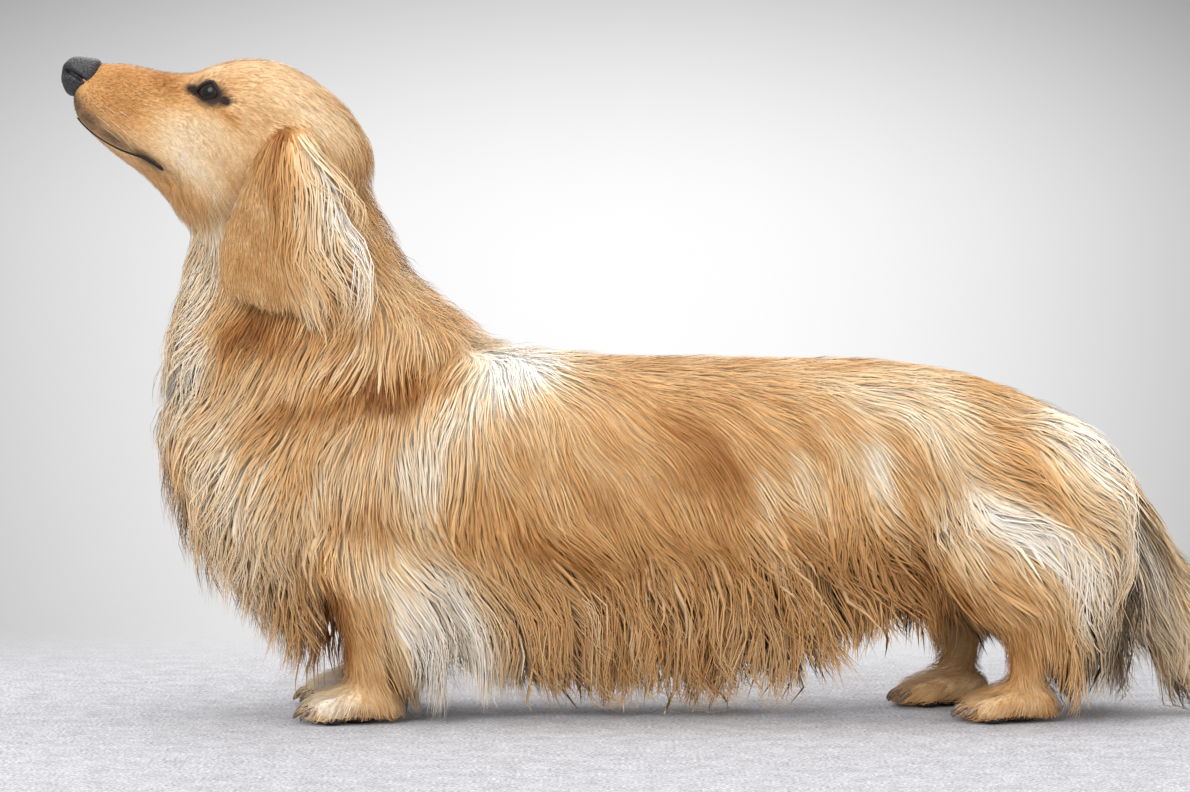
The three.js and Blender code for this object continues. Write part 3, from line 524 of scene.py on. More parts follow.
def worked_face(points):
    """The skin's points in millimetres, with the face's forms pushed into them."""
    points = points.copy()
    for middle, reach, move in FACE_PUSHES + THICK_COAT:
        for side in (-1, 1) if middle[1] else (1,):
            mirror = np.array((1, side, 1))
            distance = np.linalg.norm(points - np.array(middle) * mirror, axis=1)
            points += bell(distance, reach)[:, None] * np.array(move) * mirror
    head = (points[:, 0] < -306) & (points[:, 2] > 290)
    gap = from_mouth(points[head])
    narrow = 1 - (1 - LOWER_JAW_WIDTH) * np.clip(-gap / 3, 0, 1)
    groove = LIP_GROOVE * bell(gap, LIP_REACH)
    near = points[head]
    width = np.abs(near[:, 1])
    near[:, 1] = np.sign(near[:, 1]) * np.maximum(width * narrow - groove, 0)
    points[head] = near
    for side in (-1, 1):
        out, back, up = eye_frame(side)
        centre = np.array(EYE_AT) * (1, side, 1)
        local = points - centre
        a, u, o = local @ back, local @ up, local @ out
        distance = np.linalg.norm(local, axis=1)
        upper, lower = lid_edges(a)
        inside = (u < upper) & (u > lower) & (o > 0)
        lid = EYE_RADIUS + LID_DEPTH
        near_eye = (distance < 2 * EYE_RADIUS) & (o > 0) & ~inside
        raised = np.where(distance < lid, lid, distance)
        raised = np.where(near_eye, raised, distance)
        raised = np.where(inside & (distance < 2 * EYE_RADIUS), 0.7 * EYE_RADIUS, raised)
        points = centre + local * (raised / np.maximum(distance, 1e-6))[:, None]
    return points


skin_points = np.array([v.co for v in skin_bm.verts]) / MM
put(skin_bm, worked_face(skin_points) * MM)
smoothed(skin_bm, is_face, 1)
bmesh.ops.recalc_face_normals(skin_bm, faces=skin_bm.faces)

# Markings, the same on skin and hair, with some painted shade among them, noted where it
# stands: patches in the side view, in millimetres. Each is its middle, its half length and half
# breadth, the fall of its length towards the rear in degrees, and its tone, from -1 for deep
# brown over 0 for gold to 1 for white.
PATCHES = [
    ((-114, 203), 46, 21, 150, 1.05), ((-92, 214), 30, 14, 20, 0.5),  # withers
    ((-160, 146), 38, 20, 112, 0.8),  # behind the shoulder
    # painted shade: deep gold under the ear and in the fold of the neck, where shade falls
    ((-170, 195), 34, 8, 172, -1.1), ((-258, 231), 34, 12, 172, -1.1), ((-206, 198), 20, 6, 172, -0.35),
    # neck, breast and shoulder
    ((-222, 190), 22, 7, 165, -0.4), ((-205, 207), 44, 9, 165, 0.3), ((-176, 246), 24, 14, 60, 0.22),
    ((-300, 240), 48, 17, 95, 0.75), ((-306, 205), 30, 16, 120, 0.6), ((-280, 282), 26, 16, 90, 0.5),
    ((-282, 150), 50, 24, 100, 0.62), ((-252, 176), 30, 9, 125, -0.4), ((-264, 106), 34, 20, 70, 0.55),
    ((-212, 150), 32, 26, 100, 0.32), ((-238, 120), 26, 12, 60, 0.3), ((-200, 96), 20, 14, 95, 0.25),
    ((-186, 116), 16, 9, 30, -0.5), ((-232, 148), 26, 7, 110, -0.2), ((-218, 84), 16, 8, 95, -0.3),
    # flank and loin
    ((-92, 106), 50, 15, 12, -0.5), ((-40, 122), 40, 9, 25, -0.25), ((20, 100), 90, 22, 5, -0.25),
    ((40, 122), 24, 7, 100, 0.5), ((64, 136), 30, 8, 75, 0.5), ((108, 150), 28, 9, 75, 0.8),
    ((8, 150), 34, 18, 60, -0.6), ((92, 152), 18, 12, 60, 0.25), ((70, 200), 60, 10, 10, 0.18),
    ((-86, 146), 40, 8, 80, 0.18), ((-20, 178), 40, 7, 40, -0.15), ((36, 172), 36, 6, 40, -0.2),
    ((128, 124), 22, 12, 80, -0.3), ((96, 96), 40, 11, 25, -0.25), ((112, 188), 44, 10, 25, 0.45),
    ((150, 190), 40, 12, 35, 0.6), ((152, 158), 36, 11, 45, 0.5), ((180, 172), 34, 8, 55, -0.25),
    # rump, thigh and breeches
    ((228, 164), 40, 20, 55, 1.15), ((184, 119), 44, 13, 18, 0.95), ((204, 98), 32, 10, 35, 0.65),
    ((158, 100), 30, 13, 45, 0.42), ((140, 84), 24, 8, 30, -0.5), ((178, 82), 26, 7, 35, -0.35),
    ((246, 128), 24, 9, 80, -0.3), ((216, 130), 20, 6, 50, -0.25), ((262, 112), 34, 10, 65, 0.55),
    # tail and belly fringe
    ((232, 74), 40, 18, 80, 0.5), ((300, 40), 60, 22, 40, 0.15), ((275, 72), 70, 42, 60, 0.5),
    ((-50, 30), 90, 16, 0, 0.25), ((-52, 22), 14, 22, 90, 0.6), ((48, 40), 60, 16, 0, 0.35),
]
LEG_PATCHES = [
    ((-158, 64), 44, 26, 70, 0.95), ((-138, 40), 44, 26, 80, 0.6),  # feather behind the foreleg
    ((-212, 62), 18, 10, 90, -0.8), ((-208, 42), 10, 9, 90, -0.7), ((-190, 52), 9, 6, 90, -0.3),
    ((-220, 12), 22, 14, 0, 0.85), ((168, 12), 22, 12, 0, 0.1), ((-205, 27), 14, 7, 20, -0.25),
    ((186, 40), 18, 16, 90, -0.4), ((182, 26), 14, 6, 20, -0.15),
]
HEAD_PATCHES = [
    ((-345, 384), 36, 9, 6, -0.55), ((-340, 366), 26, 13, 10, -0.75), ((-314, 377), 14, 9, 60, -0.5),
    ((-318, 340), 40, 9, 36, 0.1), ((-330, 352), 14, 8, 20, -0.2), ((-285, 370), 9, 16, 60, -0.35),
    # The last patch here, behind and below the pale spot under the eye, is painted shade
    ((-306, 352), 36, 9, 32, 0.4), ((-288, 353), 16, 6, 20, 0.2), ((-276, 357), 12, 4, 45, -0.55),
    ((-270, 388), 22, 12, 5, 0.1), ((-240, 372), 24, 16, 40, 0.2), ((-268, 345), 22, 12, 60, 0.2),
    ((-262, 334), 34, 12, 75, -0.15), ((-296, 326), 34, 9, 45, 0.4), ((-312, 316), 26, 6, 40, -0.3),
    ((-216, 354), 26, 18, 60, 0.3), ((-286, 387), 9, 4, 20, 0.35), ((-252, 300), 22, 8, 90, -0.35),
]
# On the ears, two patches are painted shade: the deep brown one at the root of the flap, and the darker
# one low on the flap's front
EAR_PATCHES = [
    ((-211, 302), 42, 19, 78, 0.7), ((-203, 280), 34, 18, 75, 0.45), ((-264, 266), 28, 16, 85, -0.15),
    ((-262, 300), 40, 12, 95, -0.1),
    ((-244, 347), 18, 10, 75, -1.3), ((-246, 306), 26, 5, 85, -0.35), ((-272, 312), 30, 4, 108, 0.45),
    ((-228, 252), 20, 9, 90, 0.4), ((-200, 250), 18, 14, 70, -0.3),
]
# Dark bare skin round the eyes, and at their corners
DARK_RIMS = [((-288, 371), 13, 9, 18), ((-297, 373), 9, 4.4, 20), ((-279, 367), 6, 4, 20)]
# Sooty hair on the lips at the front of the muzzle: middle, reach along and across, fall
SOOT = [
    ((-370, 366), 12, 6, 52), ((-362, 357), 13, 6, 42), ((-348, 346), 17, 4, 32),
    ((-327, 333), 17, 4, 33), ((-373, 372), 7, 6, 60),
]
SOOT_COLOUR = np.array(linear((74, 58, 50)))
DARK_SKIN = np.array(linear((46, 33, 28)))
# Colours of the coat as seen, by tone
TONES = [
    (-1.2, (116, 66, 26)), (-0.6, (170, 112, 56)), (0, (217, 165, 106)), (0.5, (236, 203, 158)),
    (1, (248, 233, 210)), (1.4, (252, 247, 238)),
]
TONE_COLOURS = np.array([linear(colour) for _, colour in TONES])
PALEST = 1.05
# How much paler the skin is than the hair over it: partly the real pale undercoat, partly painted light
# that lifts the shade between the strands
UNDERCOAT_AND_SHADE_LIFT = 0.3


def within_patch(points, middle, long, short, fall):
    """Places along and across a patch, as shares of its reach."""
    turn = math.radians(fall)
    dx, dz = points[:, 0] - middle[0], points[:, 2] - middle[1]
    down = (dx * math.cos(turn) - dz * math.sin(turn)) / long
    over = (dx * math.sin(turn) + dz * math.cos(turn)) / short
    return down, over


def patch_tone(points, patches):
    tone = np.zeros(len(points))
    for *patch, strength in patches:
        down, over = within_patch(points, *patch)
        tone += strength * np.exp(-(down**2) - over**2)
    return tone


def marking_tone(points):
    """Tone of the coat at points in millimetres."""
    x, y, z = points.T
    low_leg = np.clip((74 - z) / 30, 0, 1) * np.clip((np.abs(y) - 22) / 12, 0, 1)
    head = np.clip((z - 284 - 0.2 * (x + 303)) / 18, 0, 1) * np.clip((-190 - x) / 12, 0, 1)
    tone = patch_tone(points, PATCHES) * (1 - head) * (1 - 0.6 * low_leg)
    tone += patch_tone(points, LEG_PATCHES) * np.clip((120 - z) / 30, 0, 1)
    ear = np.clip((np.abs(y) - 47) / 4, 0, 1) * np.clip((z - 222) / 14, 0, 1)
    ear = ear * np.clip((-185 - x) / 8, 0, 1) * np.clip((x + 300) / 6, 0, 1)
    tone = tone * (1 - ear) + patch_tone(points, EAR_PATCHES) * ear
    return np.minimum(tone + patch_tone(points, HEAD_PATCHES) * head * (1 - ear), PALEST)


def tone_colour(tone):
    steps = [step for step, _ in TONES]
    return np.stack([np.interp(tone, steps, TONE_COLOURS[:, i]) for i in range(3)], 1)


def rim_share(points):
    """How far the dark skin round the eyes covers a point, from 0 to 1."""
    share = np.zeros(len(points))
    for patch in DARK_RIMS:
        down, over = within_patch(points, *patch)
        share = np.maximum(share, np.clip(2.2 - 2 * np.hypot(down, over), 0, 1))
    return share * (np.abs(points[:, 1]) > 8)


def coat_colour(points, tone):
    """Colour of skin or hair of a tone, with the dark parts of the face."""
    colour = tone_colour(tone)
    soot = np.zeros(len(points))
    for patch in SOOT:
        down, over = within_patch(points, *patch)
        soot = np.maximum(soot, 0.85 * np.exp(-(down**2) - over**2))
    soot = soot[:, None]
    colour = colour * (1 - soot) + SOOT_COLOUR * soot
    rim = rim_share(points)[:, None]
    return colour * (1 - rim) + DARK_SKIN * rim


def paint(mesh, colours):
    """Vertex colours that the coat's and the skin's materials read."""
    layer = mesh.color_attributes.new("coat_colour", "FLOAT_COLOR", "POINT")
    full = np.ones((len(colours), 4), np.float32)
    full[:, :3] = colours
    layer.data.foreach_set("color", full.ravel())


skin_material, skin_shader = material_with_shader("skin_under_the_coat", 0.75, 0.25)
stain = add_node(skin_material, "VertexColor", layer_name="coat_colour")
# Fine short down, in soft streaks of light and shade that run with the body
skin_place = add_node(skin_material, "Mapping")
skin_place.inputs["Scale"].default_value = (0.35, 1, 1)
skin_point = add_node(skin_material, "TexCoord").outputs["Object"]
wire(skin_material, skin_point, skin_place.inputs["Vector"])
down_hair = add_node(skin_material, "TexNoise", Scale=1100, Detail=3, Roughness=0.65)
wire(skin_material, skin_place.outputs["Vector"], down_hair.inputs["Vector"])
down_shades = ramp(
    skin_material, down_hair.outputs["Fac"], [(0.32, (0.8, 0.76, 0.72)), (0.62, (1.04, 1.04, 1.04))]
)
downy = add_node(skin_material, "MixRGB", blend_type="MULTIPLY", Fac=1)
wire(skin_material, stain.outputs["Color"], downy.inputs[1])
wire(skin_material, down_shades, downy.inputs[2])
wire(skin_material, downy.outputs["Color"], skin_shader.inputs["Base Color"])
down_relief = add_node(skin_material, "Bump", Strength=0.35, Distance=0.0004)
wire(skin_material, down_hair.outputs["Fac"], down_relief.inputs["Height"])
wire(skin_material, down_relief.outputs["Normal"], skin_shader.inputs["Normal"])
skin = finished(skin_bm, "body_skin", skin_material)
skin_at = np.array([v.co for v in skin.data.vertices]) / MM
# The skin is painted paler: a pale undercoat, and painted light in the shade under the hair
paint(skin.data, coat_colour(skin_at, marking_tone(skin_at) + UNDERCOAT_AND_SHADE_LIFT))
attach(skin, "root")
own_pieces = ("eye", "nose")
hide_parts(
    *[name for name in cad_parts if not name.startswith(own_pieces) and "claw" not in name],
)


# Nose leather
# The bare, pebbled, dark grey end of the muzzle, with two comma-shaped nostrils and the groove
# between them. It is moulded on its own and set into the front of the skin.
NOSE = [
    (-379, 383, -379, 383, 0), (-376.6, 390.5, -377.8, 375.5, 8.5), (-371, 394.4, -373.8, 370.8, 12.3),
    (-363, 394.2, -366.5, 371.6, 13.4), (-357, 392.6, -358.5, 376, 11), (-352.5, 386, -352.5, 386, 0),
]
NOSTRIL = [
    (-377.5, 5.6, 384.2), (-374.5, 8.2, 385), (-370, 11.4, 383.4), (-364.5, 13.4, 379.6),
    (-361, 13.8, 378.2),
]
NOSTRIL_DEPTH = [4.4, 5.2, 3.6, 1.8, 0]
NOSTRIL_REACH = [2.7, 2.9, 1.9, 1.2, 0.9]


def unit(vectors):
    return vectors / np.maximum(np.linalg.norm(vectors, axis=-1, keepdims=True), 1e-9)


def dot(a, b):
    return (a * b).sum(-1, keepdims=True)


def carved_nose(bm):
    at = np.array([v.co for v in bm.verts]) / MM
    bm.normal_update()
    normal = np.array([v.normal for v in bm.verts])
    centre = at.mean(0)
    normal *= np.sign(dot(normal, at - centre).mean())
    folded = at * (1, 0, 1) + np.abs(at) * (0, 1, 0)
    shares = np.linspace(0, 1, 40)
    line = along(NOSTRIL, shares)
    depth = np.interp(shares, np.linspace(0, 1, 5), NOSTRIL_DEPTH)
    reach = np.interp(shares, np.linspace(0, 1, 5), NOSTRIL_REACH)
    gap = np.linalg.norm(folded[:, None] - line[None], axis=2) / reach
    nearest = gap.argmin(1)
    cut = depth[nearest] * np.exp(-gap.min(1) ** 4)
    rim = 0.5 * np.exp(-((gap.min(1) - 1.7) ** 2) * 3) * (depth[nearest] > 1.5)
    groove = 0.9 * bell(at[:, 1], 0.9) * np.clip((387 - at[:, 2]) / 3, 0, 1) * (at[:, 0] < -366)
    put(bm, (at - normal * (cut + groove - rim)[:, None]) * MM)
    bm.normal_update()
    bmesh.ops.recalc_face_normals(bm, faces=bm.faces)
    # Also gives how deep each point is cut, which the nose's painted shade follows
    return bm, np.clip(cut / 3, 0, 1) + 0.5 * np.clip(groove, 0, 1)


def bumped(material, shader, kind, scale, strength, distance, source="Object", **settings):
    """Fine relief from one procedural pattern, in place on the piece."""
    texture = add_node(material, kind, Scale=scale, **settings)
    place = add_node(material, "TexCoord").outputs[source]
    wire(material, place, texture.inputs["Vector"])
    relief = add_node(material, "Bump", Strength=strength, Distance=distance)
    height = texture.outputs["Distance"] if kind == "TexVoronoi" else texture.outputs["Fac"]
    wire(material, height, relief.inputs["Height"])
    wire(material, relief.outputs["Normal"], shader.inputs["Normal"])
    return height


nose_material, nose_shader = material_with_shader("nose_leather", 0.42, 0.5)
pebbles = bumped(nose_material, nose_shader, "TexVoronoi", 900, 0.7, 0.0006)
shades = ramp(nose_material, pebbles, [(0.1, linear((62, 58, 60))), (0.7, linear((30, 28, 30)))])
# Painted shade darkens the leather inside the nostrils and along the groove, by how deep they are cut
hollow = add_node(nose_material, "VertexColor", layer_name="coat_colour")
nostril_shaded = add_node(nose_material, "MixRGB", blend_type="MULTIPLY", Fac=1)
wire(nose_material, shades, nostril_shaded.inputs[1])
wire(nose_material, hollow.outputs["Color"], nostril_shaded.inputs[2])
wire(nose_material, nostril_shaded.outputs["Color"], nose_shader.inputs["Base Color"])
nose_bm, nostril_shade = carved_nose(lofted(NOSE, (0, 0, 0), rings=100, sides=110))
nose = finished(nose_bm, "nose_leather", nose_material)
paint(nose.data, np.repeat(1 - 0.85 * np.clip(nostril_shade, 0, 1)[:, None], 3, 1))
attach(nose, "root")
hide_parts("nose")


# Eyes
# Glossy dark brown eyes with near-black pupils, the clear front standing a little proud. Each
# is a ball of its own, seated in its socket behind the lids.
IRIS = 6.6
PUPIL = 3.1
eye_material, eye_shader = material_with_shader("dark_brown_eye", 0.35, 0.1)
eye_shader.inputs["Coat Weight"].default_value = 0.4
eye_shader.inputs["Coat Roughness"].default_value = 0.03
eye_stain = add_node(eye_material, "VertexColor", layer_name="coat_colour")
wire(eye_material, eye_stain.outputs["Color"], eye_shader.inputs["Base Color"])
for name, side in SIDES.items():
    out, back, up = eye_frame(side)
    bm = bmesh.new()
    bmesh.ops.create_uvsphere(bm, u_segments=64, v_segments=48, radius=1)
    ball_at = np.array([v.co for v in bm.verts])
    across = np.hypot(ball_at[:, 0], ball_at[:, 1]) * EYE_RADIUS
    front = ball_at[:, 2] > 0
    proud = np.where(front, 0.5 * np.clip(1 - (across / 7.4) ** 2, 0, 1), 0)
    axes = np.stack([back, up, out])
    eye_at = (ball_at * (EYE_RADIUS + proud)[:, None]) @ axes + np.array(EYE_AT) * (1, side, 1)
    put(bm, eye_at * MM)
    bmesh.ops.recalc_face_normals(bm, faces=bm.faces)
    eye = finished(bm, "eyeball_" + name, eye_material)
    ray = np.arctan2(ball_at[:, 1], ball_at[:, 0])
    streak = 0.85 + 0.15 * np.sin(ray * 31 + 2 * np.sin(ray * 7))
    brown = np.array(linear((42, 25, 17))) * streak[:, None]
    white = np.array(linear((36, 26, 22)))
    dark = np.array(linear((12, 9, 8)))
    in_iris = (np.clip((IRIS - across) / 0.7, 0, 1) * front)[:, None]
    in_pupil = (np.clip((PUPIL - across) / 0.5, 0, 1) * front)[:, None]
    edge = (np.clip(1 - np.abs(across - IRIS) / 1.1, 0, 1) * front)[:, None]
    shade = white * (1 - in_iris) + brown * in_iris
    shade = shade * (1 - 0.8 * edge)
    paint(eye.data, shade * (1 - in_pupil) + dark * in_pupil)
    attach(eye, "root")
    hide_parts("eye_" + name)


# Eyelids
# The bare dark rims of the lids, thick and rounded, closing on the ball all the way round its
# almond opening and drawn out to a small point at the inner corner.
def tube(points, radii, sides=10, flat=1.0, out=None):
    """A closed rounded tube along the points, thinner across the out direction if flat."""
    rings = len(points)
    bm = bmesh.new()
    bmesh.ops.create_uvsphere(bm, u_segments=sides, v_segments=rings + 1, radius=1)
    t, angle = sphere_shares(bm)
    points, radii = np.asarray(points, float), np.asarray(radii, float)
    shares = np.linspace(0, 1, rings)
    middle = np.stack([np.interp(t, shares, points[:, i]) for i in range(3)], 1)
    radius = np.interp(t, shares, radii) * np.sqrt(np.clip(1 - (2 * t - 1) ** 12, 0, 1))
    step = 0.5 / rings
    ahead = np.stack([np.interp(t + step, shares, points[:, i]) for i in range(3)], 1)
    behind = np.stack([np.interp(t - step, shares, points[:, i]) for i in range(3)], 1)
    run = unit(ahead - behind)
    first = out if out is not None else np.array((0, 1, 0.0))
    if np.ndim(first) == 2:
        first = np.stack([np.interp(t, shares, first[:, i]) for i in range(3)], 1)
    else:
        first = np.tile(first, (len(t), 1))
    first = unit(first - run * dot(first, run))
    second = np.cross(run, first)
    offset = first * (np.cos(angle) * radius * flat)[:, None] + second * (np.sin(angle) * radius)[:, None]
    put(bm, (middle + offset) * MM)
    bmesh.ops.recalc_face_normals(bm, faces=bm.faces)
    return bm


rim_material, rim_shader = material_with_shader("dark_bare_skin", 0.55, 0.25)
crease = bumped(rim_material, rim_shader, "TexNoise", 1400, 0.4, 0.0004)
rim_shades = ramp(rim_material, crease, [(0.35, linear((24, 17, 15))), (0.7, linear((48, 35, 31)))])
wire(rim_material, rim_shades, rim_shader.inputs["Base Color"])
for name, side in SIDES.items():
    out, back, up = eye_frame(side)
    turn = np.linspace(0, 2 * math.pi, 72)
    slit_a = EYE_LONG * signed_power(np.cos(turn), 0.8)
    upper, lower = lid_edges(slit_a)
    slit_u = np.where(np.sin(turn) > 0, upper, lower)
    depth = np.sqrt(np.maximum((EYE_RADIUS + 0.5) ** 2 - slit_a**2 - slit_u**2, 1))
    rim = slit_a[:, None] * back + slit_u[:, None] * up + depth[:, None] * out
    thickness = 0.95 + 0.25 * np.maximum(np.sin(turn), 0) + 0.3 * np.maximum(-np.cos(turn), 0) ** 3
    place_of_rim = rim + np.array(EYE_AT) * (1, side, 1)
    lid = finished(tube(place_of_rim, thickness, 12, 0.9, unit(rim)), "eyelid_rim_" + name, rim_material)
    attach(lid, "root")


# Lips
# The dark bare edges of the lips where the mouth is closed, wider towards the corner. They lie
# in the groove of the skin and meet under the nose.
skin_tree = BVHTree.FromPolygons(
    [v.co / MM for v in skin.data.vertices], [face.vertices for face in skin.data.polygons]
)
lip_side = []
for share in np.linspace(0.1, 0.97, 34):
    x, z = along(MOUTH, [share])[0]
    hit = skin_tree.ray_cast(Vector((x, -90, z)), Vector((0, 1, 0)))[0]
    if hit is not None:
        lip_side.append((x, hit.y + 0.5, z - 0.3, share))
lip_left = np.array(lip_side)[::-1]
lip_right = np.array(lip_side) * (1, -1, 1, 1)
front = np.array([(lip_right[0, 0] - 1.6, 0, lip_right[0, 2] + 1.2, 0.05)])
lip_line = np.vstack([lip_left, front, lip_right])
lip_width = np.interp(lip_line[:, 3], [0, 0.3, 0.6, 0.75, 0.93, 1], [0.8, 0.7, 0.9, 1.9, 2.1, 0.8])
lips = finished(tube(lip_line[:, :3], lip_width, 12, 0.8), "lips", rim_material)
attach(lips, "root")


# Whiskers
# Fine, stiff, pale whiskers in rows on the sides of the muzzle, with a few over each eye and
# on the chin. Each is a thin tapered tube with its root in the skin.
WHISKERS = [  # x and z of the root, and the length
    (-359, 366, 15), (-352, 364, 17), (-344, 362, 16), (-358, 359, 18), (-350, 357, 21),
    (-342, 355, 19), (-353, 351, 18), (-345, 349, 20), (-336, 347, 17), (-333, 325, 11),
    (-343, 332, 12), (-283, 384, 14), (-288, 383, 12),
]
whisker_bm = bmesh.new()
WHISKER_STEPS = 9
whisker_draw = np.random.default_rng(5)
for x, z, length in WHISKERS:
    for side in (-1, 1):
        hit, normal, _, _ = skin_tree.ray_cast(Vector((x, 90 * side, z)), Vector((0, -side, 0)))
        if hit is None:
            continue
        start = np.array(hit) - np.array(normal) * 0.8
        lean = np.array((0.55, 0.55 * side, 0.5 if z > 380 else -0.25))
        lean = unit(lean + whisker_draw.normal(size=3) * 0.08)
        share = np.linspace(0, 1, WHISKER_STEPS)[:, None]
        line = start + (lean * length) * share + np.array((0.12, 0, -0.2)) * length * share**2
        hair = tube(line, np.linspace(0.2, 0.05, WHISKER_STEPS), 6)
        loose_mesh = bpy.data.meshes.new("whisker")
        hair.to_mesh(loose_mesh)
        hair.free()
        whisker_bm.from_mesh(loose_mesh)
        bpy.data.meshes.remove(loose_mesh)
whisker_material, whisker_shader = material_with_shader("whisker_hair", 0.45, 0.4)
grain_of_whisker = bumped(whisker_material, whisker_shader, "TexNoise", 900, 0.2, 0.0001)
whisker_shades = ramp(
    whisker_material, grain_of_whisker, [(0.3, linear((168, 132, 96))), (0.7, linear((236, 218, 190)))]
)
wire(whisker_material, whisker_shades, whisker_shader.inputs["Base Color"])
whiskers = finished(whisker_bm, "whiskers", whisker_material)
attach(whiskers, "root")


# Claws and pads
# Four short, curved claws of brown horn on each paw, each set in its toe, and the dark
# leathery pads that it stands on.
claw_material, claw_shader = material_with_shader("dark_horn", 0.35, 0.5)
rings = bumped(claw_material, claw_shader, "TexNoise", 600, 0.3, 0.0003)
horn = ramp(claw_material, rings, [(0.35, linear((84, 68, 56))), (0.7, linear((150, 128, 106)))])
wire(claw_material, horn, claw_shader.inputs["Base Color"])
pad_material, pad_shader = material_with_shader("pad_leather", 0.7, 0.3)
grain = bumped(pad_material, pad_shader, "TexVoronoi", 700, 0.6, 0.0006)
pad_shades = ramp(pad_material, grain, [(0.1, linear((66, 56, 54))), (0.7, linear((38, 32, 32)))])
wire(pad_material, pad_shades, pad_shader.inputs["Base Color"])
for leg, feet, stance in (("foreleg", FORE_FOOT, FORE_STANCE), ("hindleg", HIND_FOOT, HIND_STANCE)):
    for name, side in SIDES.items():
        foot = feet[side]
        pads = [ball((foot + 3, stance * side, 3.4), (13, 13, 3))]
        for number, toe in enumerate(TOES, 1):
            x, y = toe_place(foot, stance * side, toe)
            t = np.linspace(0, 1, 14)[:, None]
            root, bend, point = ((x - 5, y, 8.5), (x - 14.5, y, 9.5), (x - 17.5, y, 2.6))
            points = (1 - t) ** 2 * np.array(root) + 2 * t * (1 - t) * np.array(bend)
            points = points + t**2 * np.array(point)
            radii = 2.4 * np.sqrt(1 - t[:, 0] ** 2 * 0.97)
            claw = finished(tube(points, radii, 12, 0.75), f"claw_{leg}_{name}_{number}", claw_material)
            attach(claw, "root")
            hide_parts(f"{leg}_{name}_claw_{number}")
            pads.append(ball((x + 1, y, 3), (7, 4.6, 2.6)))
        pad = finished(fused(pads, "pad", 0.0012, 3), f"pads_{leg}_{name}", pad_material)
        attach(pad, "root")


# Coat
# Long, silky, slightly wavy hair, short and close on the face, the fronts of the legs and the
# paws. It grows from the skin along its lie in flat tapered strands that draw together into
# locks.
GUIDE_STEPS = 9
GUIDE_SHARE = 5  # strands to a guide
GUIDE_FINENESS = 0.75  # how much denser the roots are where the hair is short
STRAND_FINENESS = 0.45
WAVELENGTH = 56
FLOOR_GAP = 0.0016  # metres between the lowest hair and the floor
PATCH = 0.003  # size of a strand's own place in the map of the skin
SOFT = 0.88  # how far a hair is shaded like the body under it
# By length in millimetres: width of a strand, and the lengths from which it has more rings
WIDTHS = ([4, 12, 24, 40, 90], [0.3, 0.45, 0.62, 0.85, 1.15])
RING_LENGTHS = (26, 40, 58, 80)
FEWEST_RINGS = 2
# By share of the way from root to tip: taper, and how much lighter. The lighter roots are
# painted light that lifts the shade deep in the coat; the lighter tips are the hair's own colour.
TAPER = ([0, 0.3, 0.7, 1], [0.85, 1, 0.66, 0.1])
LIGHTER = ([0, 0.3, 0.7, 1], [0.12, 0.04, 0, 0.1])
RIDGE = 0.3  # height of a strand's ridge over its half width

